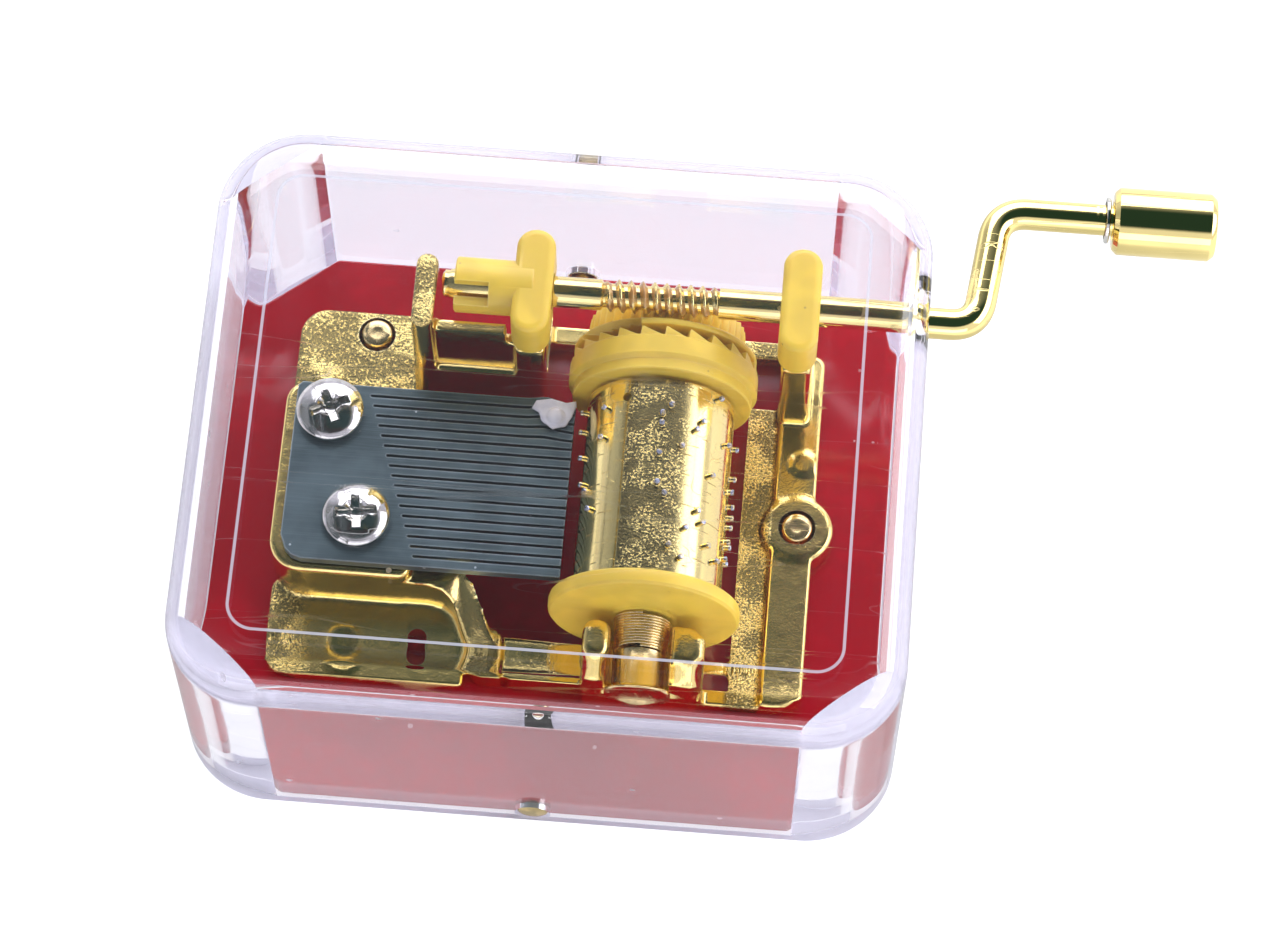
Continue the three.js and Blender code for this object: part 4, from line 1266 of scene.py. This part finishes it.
def rod_piece():
    left = turned(
        [
            (0, -11.55), (0.75, -11.55), (0.95, -11.5), (1.25, -11.3), (1.25, -10.9), (ROD_R, -10.7),
            (ROD_R, 2.75), (0.9, 3.1), (0, 3.1),
        ],
        40, "X",
    )
    core = barrel(WORM_CORE, 2.6, 13.6, 40, "X")
    path = [(13.2, 0, 0), (13.3, 0, 0)]
    path += curve_points((33.9, 0, 0), (36.2, 0, 0), (36.6, 2.3, 0), 12)
    path += curve_points(
        (37.4, HANDLE_OFFSET - 2.6, 0), (37.8, HANDLE_OFFSET, 0), (40.4, HANDLE_OFFSET, 0), 12,
    )
    path += [(46.2, HANDLE_OFFSET, 0), (48.2, HANDLE_OFFSET, 0)]
    bent = swept(path, [0.9, ROD_R] + [ROD_R] * (len(path) - 2), 40)
    spindle = moved(barrel(0.9, 47.6, 55.2, 24, "X"), 0, HANDLE_OFFSET, 0)
    rod = loose("crank_rod_gold", [shaft(left)])
    combine(rod, [[shaft(core)], [shaft(bent)], [shaft(spindle)]], "UNION")
    notches = []
    for side in (-1, 1):
        for x in (46.5, 47.05):
            notches.append(
                [
                    shaft(
                        brick(
                            x, x + 0.22, HANDLE_OFFSET - 1.5, HANDLE_OFFSET + 1.5,
                            *sorted((side * 1.18, side * 1.7)),
                        )
                    )
                ]
            )
    combine(rod, notches, "DIFFERENCE")
    crisp(rod, 38)
    rings = []
    steps = int(WORM_TURNS * 36)
    for k in range(steps + 1):
        a = TAU * WORM_TURNS * k / steps
        x = WORM_X0 + WORM_PITCH * WORM_TURNS * k / steps
        rise = size("thread_height") * min(1.0, 0.3 + k / 30, 0.3 + (steps - k) / 30)
        section = (
            (-0.44, -0.12), (-0.30, 0.08), (-0.14, 0.72), (-0.05, 1.0), (0.05, 1.0), (0.14, 0.72),
            (0.30, 0.08), (0.44, -0.12),
        )
        rings.append([
            (
                x + across * WORM_PITCH, (WORM_CORE + up * rise) * math.cos(a),
                (WORM_CORE + up * rise) * math.sin(a),
            )
            for across, up in section
        ])
    thread = crisp(loose("worm_thread", [shaft(loft(rings))]), 80)
    return rod, thread


def washer_piece():
    profile = [(1.7, 47.35), (1.98, 47.35), (2.1, 47.45), (2.1, 47.65), (1.98, 47.75), (1.7, 47.75)]
    return crisp(
        loose("steel_washer", [moved(turned(profile, 48, "X"), 0, SHAFT_Y + HANDLE_OFFSET, SHAFT_Z)]), 40,
    )


def knob_piece():
    r = KNOB_R
    profile = [
        (1.7, KNOB_X0 + 0.4), (1.75, KNOB_X0), (r - 0.55, KNOB_X0), (r - 0.42, KNOB_X0 + 0.05),
        (r - 0.04, KNOB_X0 + 0.45), (r, KNOB_X0 + 0.6), (r, KNOB_X1 - 0.6), (r - 0.04, KNOB_X1 - 0.48),
        (r - 0.42, KNOB_X1 - 0.05), (r - 0.55, KNOB_X1), (0, KNOB_X1), (0, KNOB_X1 - 1.5),
        (1.7, KNOB_X1 - 1.5),
    ]
    return weighted(
        crisp(
            loose("gold_knob", [moved(turned(profile[::-1], 96, "X"), 0, SHAFT_Y + HANDLE_OFFSET, SHAFT_Z)]),
            25,
        )
    )


def bushing_piece(name, x, sleeve):
    half_x, half_y = 1.75, 5.1
    outline = rounded_outline(x - half_x, x + half_x, SHAFT_Y - half_y, SHAFT_Y + half_y, half_x - 0.02, 14)
    low, high = 17.8, 22.7
    rings = [flat(inset(outline, 0.15), low), flat(outline, low + 0.15)]
    for k in range(7):
        a = math.pi / 2 * k / 6
        rings.append(flat(inset(outline, 0.75 * (1 - math.cos(a))), high - 0.6 + 0.6 * math.sin(a)))
    bushing = loose(name, [loft(rings)])
    if sleeve:
        end = x - 7
        tube = turned([(0, end), (2.35, end), (2.5, end + 0.15), (2.5, x), (0, x)], 64, "X")
        combine(bushing, [[shaft(tube)]], "UNION")
        combine(bushing, [[shaft(brick(end - 1, end + 3.1, -4, -0.7, 0.8, 4))]], "DIFFERENCE")
    combine(bushing, [[shaft(barrel(BORE_R, x - 12, x + 12, 40, "X"))]], "DIFFERENCE")
    return weighted(crisp(bushing, 32))


# ---- What a user would change --------------------------------------------------------------------

def tint(label, note, default):
    return bpy.props.FloatVectorProperty(
        name=label, description=note, subtype="COLOR", size=3, min=0.0, max=1.0, default=default)


class MusicBoxLook(bpy.types.PropertyGroup):
    """Colours of the finishes."""
    clear: tint("Clear plastic", "Tint of the clear case", (0.950, 0.945, 0.998))
    red: tint("Red plastic", "Colour of the base plate", (0.40, 0.0, 0.010))
    gold: tint("Cast gold", "Plating on the casting", (0.94, 0.74, 0.27))
    polish: tint("Polished gold", "Plating on the crank and drum", (0.97, 0.80, 0.33))
    brass: tint("Brass", "Colour of the small turned parts", (0.88, 0.70, 0.34))
    steel: tint("Comb steel", "Colour of the ground comb", (0.105, 0.145, 0.155))
    nickel: tint("Nickel", "Colour of the bright screws", (0.72, 0.71, 0.66))
    nylon: tint("Nylon", "Colour of the caps, wheel and bushings", (0.88, 0.63, 0.07))
    floor_glow: bpy.props.FloatProperty(
        name="Floor glow", description="How brightly the stage glows", default=0.88, min=0.0, max=2.0,
    )


def length(label, note, default):
    return bpy.props.FloatProperty(
        name=label, description=note, subtype="DISTANCE", unit="LENGTH", precision=5, min=0.00001,
        default=default * MM)


class MusicBoxSizes(bpy.types.PropertyGroup):
    """Sizes that leave the piece in its place."""
    slit_width: length("Slit width", "Gap between two teeth of the comb", 0.25)
    pin_width: length("Pin width", "Thickness of the pins on the drum", 0.54)
    pin_height: length("Pin height", "How far the pins stand out of the drum", 0.6)
    ratchet_height: length("Ratchet height", "Height of the teeth on the rear cap", 0.85)
    thread_height: length("Thread height", "How far the worm's thread stands out of its core", 0.4)
    spring_wire: length("Spring wire", "Thickness of the spring's wire", 0.24)
    screw_head: length("Screw head", "Width of the heads of the comb's screws", 6.1)
    cast_detail: length("Cast detail", "Smallest step in the skin of the casting", 0.2)


class MusicBoxStage(bpy.types.PropertyGroup):
    """Camera and light."""
    lens: bpy.props.FloatProperty(
        name="Lens", description="Focal length of the camera, in millimetres", default=131.5, min=10.0,
    )
    back_light: bpy.props.FloatProperty(
        name="Back light", description="Power of the box behind", default=14.0, unit="POWER",
    )
    right_light: bpy.props.FloatProperty(
        name="Right light", description="Power of the box at the right", default=7.0, unit="POWER",
    )
    front_light: bpy.props.FloatProperty(
        name="Front light", description="Power of the low box in front", default=3.5, unit="POWER",
    )
    walls: tint("Walls", "Colour of the lit walls of the room", (0.92, 0.91, 1.0))
    ceiling: tint("Ceiling", "Colour of the dark ceiling", (0.020, 0.048, 0.046))


EFFECTS = {
    "outline": outline_group, "grain": grain_group, "scratches": scratch_group, "dust": dust_group,
    "edge_wear": edge_group,
}
FINISHES = {maker.__name__: maker for maker in (
    clear_styrene, red_styrene, cast_gold, polished_gold, drum_brass, pin_tip, ground_steel, bright_nickel,
    turned_brass, moulded_nylon, greased_gold, cloudy_film, stage_paper,
)}


def finish(name):
    return bpy.data.materials.get(name) or FINISHES[name](bpy.context.scene.music_box_look)


# ---- Operators -----------------------------------------------------------------------------------

class MUSICBOX_OT_case(bpy.types.Operator):
    """Build the clear case and the pins that hold it"""
    bl_idname = "musicbox.build_case"
    bl_label = "Clear case"

    def execute(self, context):
        placed(lid_piece(), "root", "clear_lid", "clear_styrene")
        placed(case_pin(-1), "root", "front_case_pin", "turned_brass")
        placed(case_pin(1), "root", "back_case_pin", "turned_brass")
        return {"FINISHED"}


class MUSICBOX_OT_base(bpy.types.Operator):
    """Build the red base plate and its two screws"""
    bl_idname = "musicbox.build_base"
    bl_label = "Base plate"

    def execute(self, context):
        placed(base_piece(), "root", "base_plate", "red_styrene")
        for side, (x, y) in MOUNT_SCREWS.items():
            placed(mount_screw(side, x, y), "root", f"mounting_screw_{side}", "turned_brass")
        return {"FINISHED"}


class MUSICBOX_OT_bed(bpy.types.Operator):
    """Build the gold-plated casting"""
    bl_idname = "musicbox.build_bed"
    bl_label = "Bed frame"

    def execute(self, context):
        placed(bed_piece(), "root", "bed_frame", "cast_gold")
        return {"FINISHED"}


class MUSICBOX_OT_comb(bpy.types.Operator):
    """Build the comb, its screws and the film on its bass teeth"""
    bl_idname = "musicbox.build_comb"
    bl_label = "Comb"

    def execute(self, context):
        placed(comb_piece(), "root", "comb", "ground_steel")
        for end, turn in (("rear", 25), ("front", 8)):
            x, y = COMB_SCREWS[end]
            placed(comb_screw(end, x, y, turn), "root", f"comb_screw_{end}", "bright_nickel")
        placed(film_piece(), "root", "damper_film", "cloudy_film")
        return {"FINISHED"}


class MUSICBOX_OT_bushings(bpy.types.Operator):
    """Build the two nylon bushings"""
    bl_idname = "musicbox.build_bushings"
    bl_label = "Bushings"

    def execute(self, context):
        placed(
            bushing_piece("bushing_left", LEFT_BUSH_X, True), "root", "left_bushing",
            "moulded_nylon",
        )
        placed(
            bushing_piece("bushing_right", RIGHT_BUSH_X, False), "root", "right_bushing",
            "moulded_nylon",
        )
        return {"FINISHED"}


class MUSICBOX_OT_cylinder(bpy.types.Operator):
    """Build the pinned cylinder with its caps, wheel, arbor and spring"""
    bl_idname = "musicbox.build_cylinder"
    bl_label = "Cylinder"

    def execute(self, context):
        shell, pins, tips = shell_piece()
        placed(shell, "cylinder", "cylinder_shell", "drum_brass")
        placed(pins, "cylinder", "cylinder_shell", "polished_gold")
        placed(tips, "cylinder", "cylinder_shell", "pin_tip")
        placed(rear_cap_piece(), "cylinder", "rear_end_cap", "moulded_nylon")
        placed(front_cap_piece(), "cylinder", "front_end_cap", "moulded_nylon")
        placed(wheel_piece(), "cylinder", "worm_wheel", "moulded_nylon")
        placed(arbor_piece(), "cylinder", "cylinder_arbor", "bright_nickel")
        placed(spring_piece(), "cylinder", "thrust_spring", "turned_brass")
        placed(bush_piece(), "cylinder", "front_bearing_bush", "turned_brass")
        return {"FINISHED"}


class MUSICBOX_OT_crank(bpy.types.Operator):
    """Build the crank rod with its worm, the washer and the knob"""
    bl_idname = "musicbox.build_crank"
    bl_label = "Crank"

    def execute(self, context):
        rod, thread = rod_piece()
        placed(rod, "crank", "crank_rod", "polished_gold")
        placed(thread, "crank", "crank_rod", "greased_gold")
        placed(washer_piece(), "knob", "knob_washer", "bright_nickel")
        placed(knob_piece(), "knob", "crank_knob", "polished_gold")
        return {"FINISHED"}


def softbox(name, azimuth, elevation, distance, width, height, power):
    """A rectangular light aimed at the origin; azimuth 0 is behind and 90 at the right."""
    light = bpy.data.lights.new(name, "AREA")
    light.shape, light.size, light.size_y, light.energy = "RECTANGLE", width, height, power
    lamp = bpy.data.objects.new(name, light)
    bpy.context.scene.collection.objects.link(lamp)
    a, e = math.radians(azimuth), math.radians(elevation)
    away = Vector((math.sin(a) * math.cos(e), math.cos(a) * math.cos(e), math.sin(e)))
    lamp.location = away * distance
    lamp.rotation_mode = "QUATERNION"
    lamp.rotation_quaternion = away.to_track_quat("Z", "Y")
    return lamp


class MUSICBOX_OT_stage(bpy.types.Operator):
    """Set up the pale floor, the soft lights and the camera"""
    bl_idname = "musicbox.build_stage"
    bl_label = "Stage"

    def execute(self, context):
        stage = context.scene.music_box_stage
        floor = loose("stage_floor", [brick(-3000, 3000, -3000, 3000, -20, -0.3)])
        floor.data.materials.append(finish("stage_paper"))
        world = bpy.data.worlds.new("studio")
        world.use_nodes = True
        sky = Tree(world.node_tree)
        room = world.node_tree.nodes["Background"]
        heading = sky.add("ShaderNodeTexCoord").outputs["Generated"]
        x, y, z = sky.add("ShaderNodeSeparateXYZ", inputs={"Vector": heading}).outputs
        low = sky.ramp(z, 0.08, 0.30, 0.85, 0.0)
        front = sky.times(sky.ramp(z, 0.64, 0.78, 1.0, 0.0), sky.ramp(x, -0.65, -0.25, 0.08, 1.0))
        behind = sky.ramp(y, 0.24, 0.85, 0.0, 1.0)
        lit = sky.most(low, front, behind)
        sky.feed(room.inputs["Color"], sky.mix(lit, colour(stage.ceiling), colour(stage.walls)))
        sky.feed(room.inputs["Strength"], 1.0)
        context.scene.world = world
        softbox("back_box", 0, 36, 1.2, 1.7, 1.0, stage.back_light)
        softbox("right_box", 90, 28, 1.2, 1.2, 0.7, stage.right_light)
        softbox("front_box", 180, 14, 1.2, 1.6, 0.5, stage.front_light)
        context.scene.view_settings.view_transform = "Standard"
        context.scene.cycles.max_bounces = 24
        context.scene.cycles.transmission_bounces = 24
        context.scene.cycles.glossy_bounces = 20
        context.scene.cycles.transparent_max_bounces = 16
        lens = bpy.data.cameras.new("camera")
        lens.lens, lens.sensor_width, lens.clip_start, lens.clip_end = stage.lens, 36.0, 0.01, 20.0
        camera = bpy.data.objects.new("camera", lens)
        context.scene.collection.objects.link(camera)
        place, target, roll = Vector(
            (0.01929, -0.16180, 0.39529)
        ), Vector((0.00631, 0.00765, 0.0)), math.radians(0.27)
        back = (place - target).normalized()
        right = Vector((0, 0, 1)).cross(back).normalized()
        up = back.cross(right)
        across = math.cos(roll) * right + math.sin(roll) * up
        upright = math.cos(roll) * up - math.sin(roll) * right
        stand = Matrix((across, upright, back)).transposed().to_4x4()
        stand.translation = place
        camera.matrix_world = stand
        context.scene.camera = camera
        return {"FINISHED"}


OPERATORS = [
    MUSICBOX_OT_stage, MUSICBOX_OT_base, MUSICBOX_OT_bed, MUSICBOX_OT_comb, MUSICBOX_OT_bushings,
    MUSICBOX_OT_cylinder,
    MUSICBOX_OT_crank, MUSICBOX_OT_case,
]


class MUSICBOX_PT_panel(bpy.types.Panel):
    """Lists the pieces of the music box"""
    bl_idname = "MUSICBOX_PT_panel"
    bl_label = "Music box"
    bl_space_type = "VIEW_3D"
    bl_region_type = "UI"
    bl_category = "Music box"

    def draw(self, context):
        for operator in OPERATORS:
            self.layout.operator(operator.bl_idname)
        for key in MusicBoxSizes.__annotations__:
            self.layout.prop(context.scene.music_box_sizes, key)
        for key in MusicBoxLook.__annotations__:
            self.layout.prop(context.scene.music_box_look, key)
        for key in MusicBoxStage.__annotations__:
            self.layout.prop(context.scene.music_box_stage, key)


CLASSES = [MusicBoxSizes, MusicBoxLook, MusicBoxStage, *OPERATORS, MUSICBOX_PT_panel]


def register():
    for each in CLASSES:
        bpy.utils.register_class(each)
    bpy.types.Scene.music_box_sizes = bpy.props.PointerProperty(type=MusicBoxSizes)
    bpy.types.Scene.music_box_look = bpy.props.PointerProperty(type=MusicBoxLook)
    bpy.types.Scene.music_box_stage = bpy.props.PointerProperty(type=MusicBoxStage)


def unregister():
    del bpy.types.Scene.music_box_stage
    del bpy.types.Scene.music_box_look
    del bpy.types.Scene.music_box_sizes
    for each in reversed(CLASSES):
        bpy.utils.unregister_class(each)


def main():
    register()
    for operator in OPERATORS:
        group, name = operator.bl_idname.split(".")
        getattr(getattr(bpy.ops, group), name)()


if __name__ == "__main__":
    main()
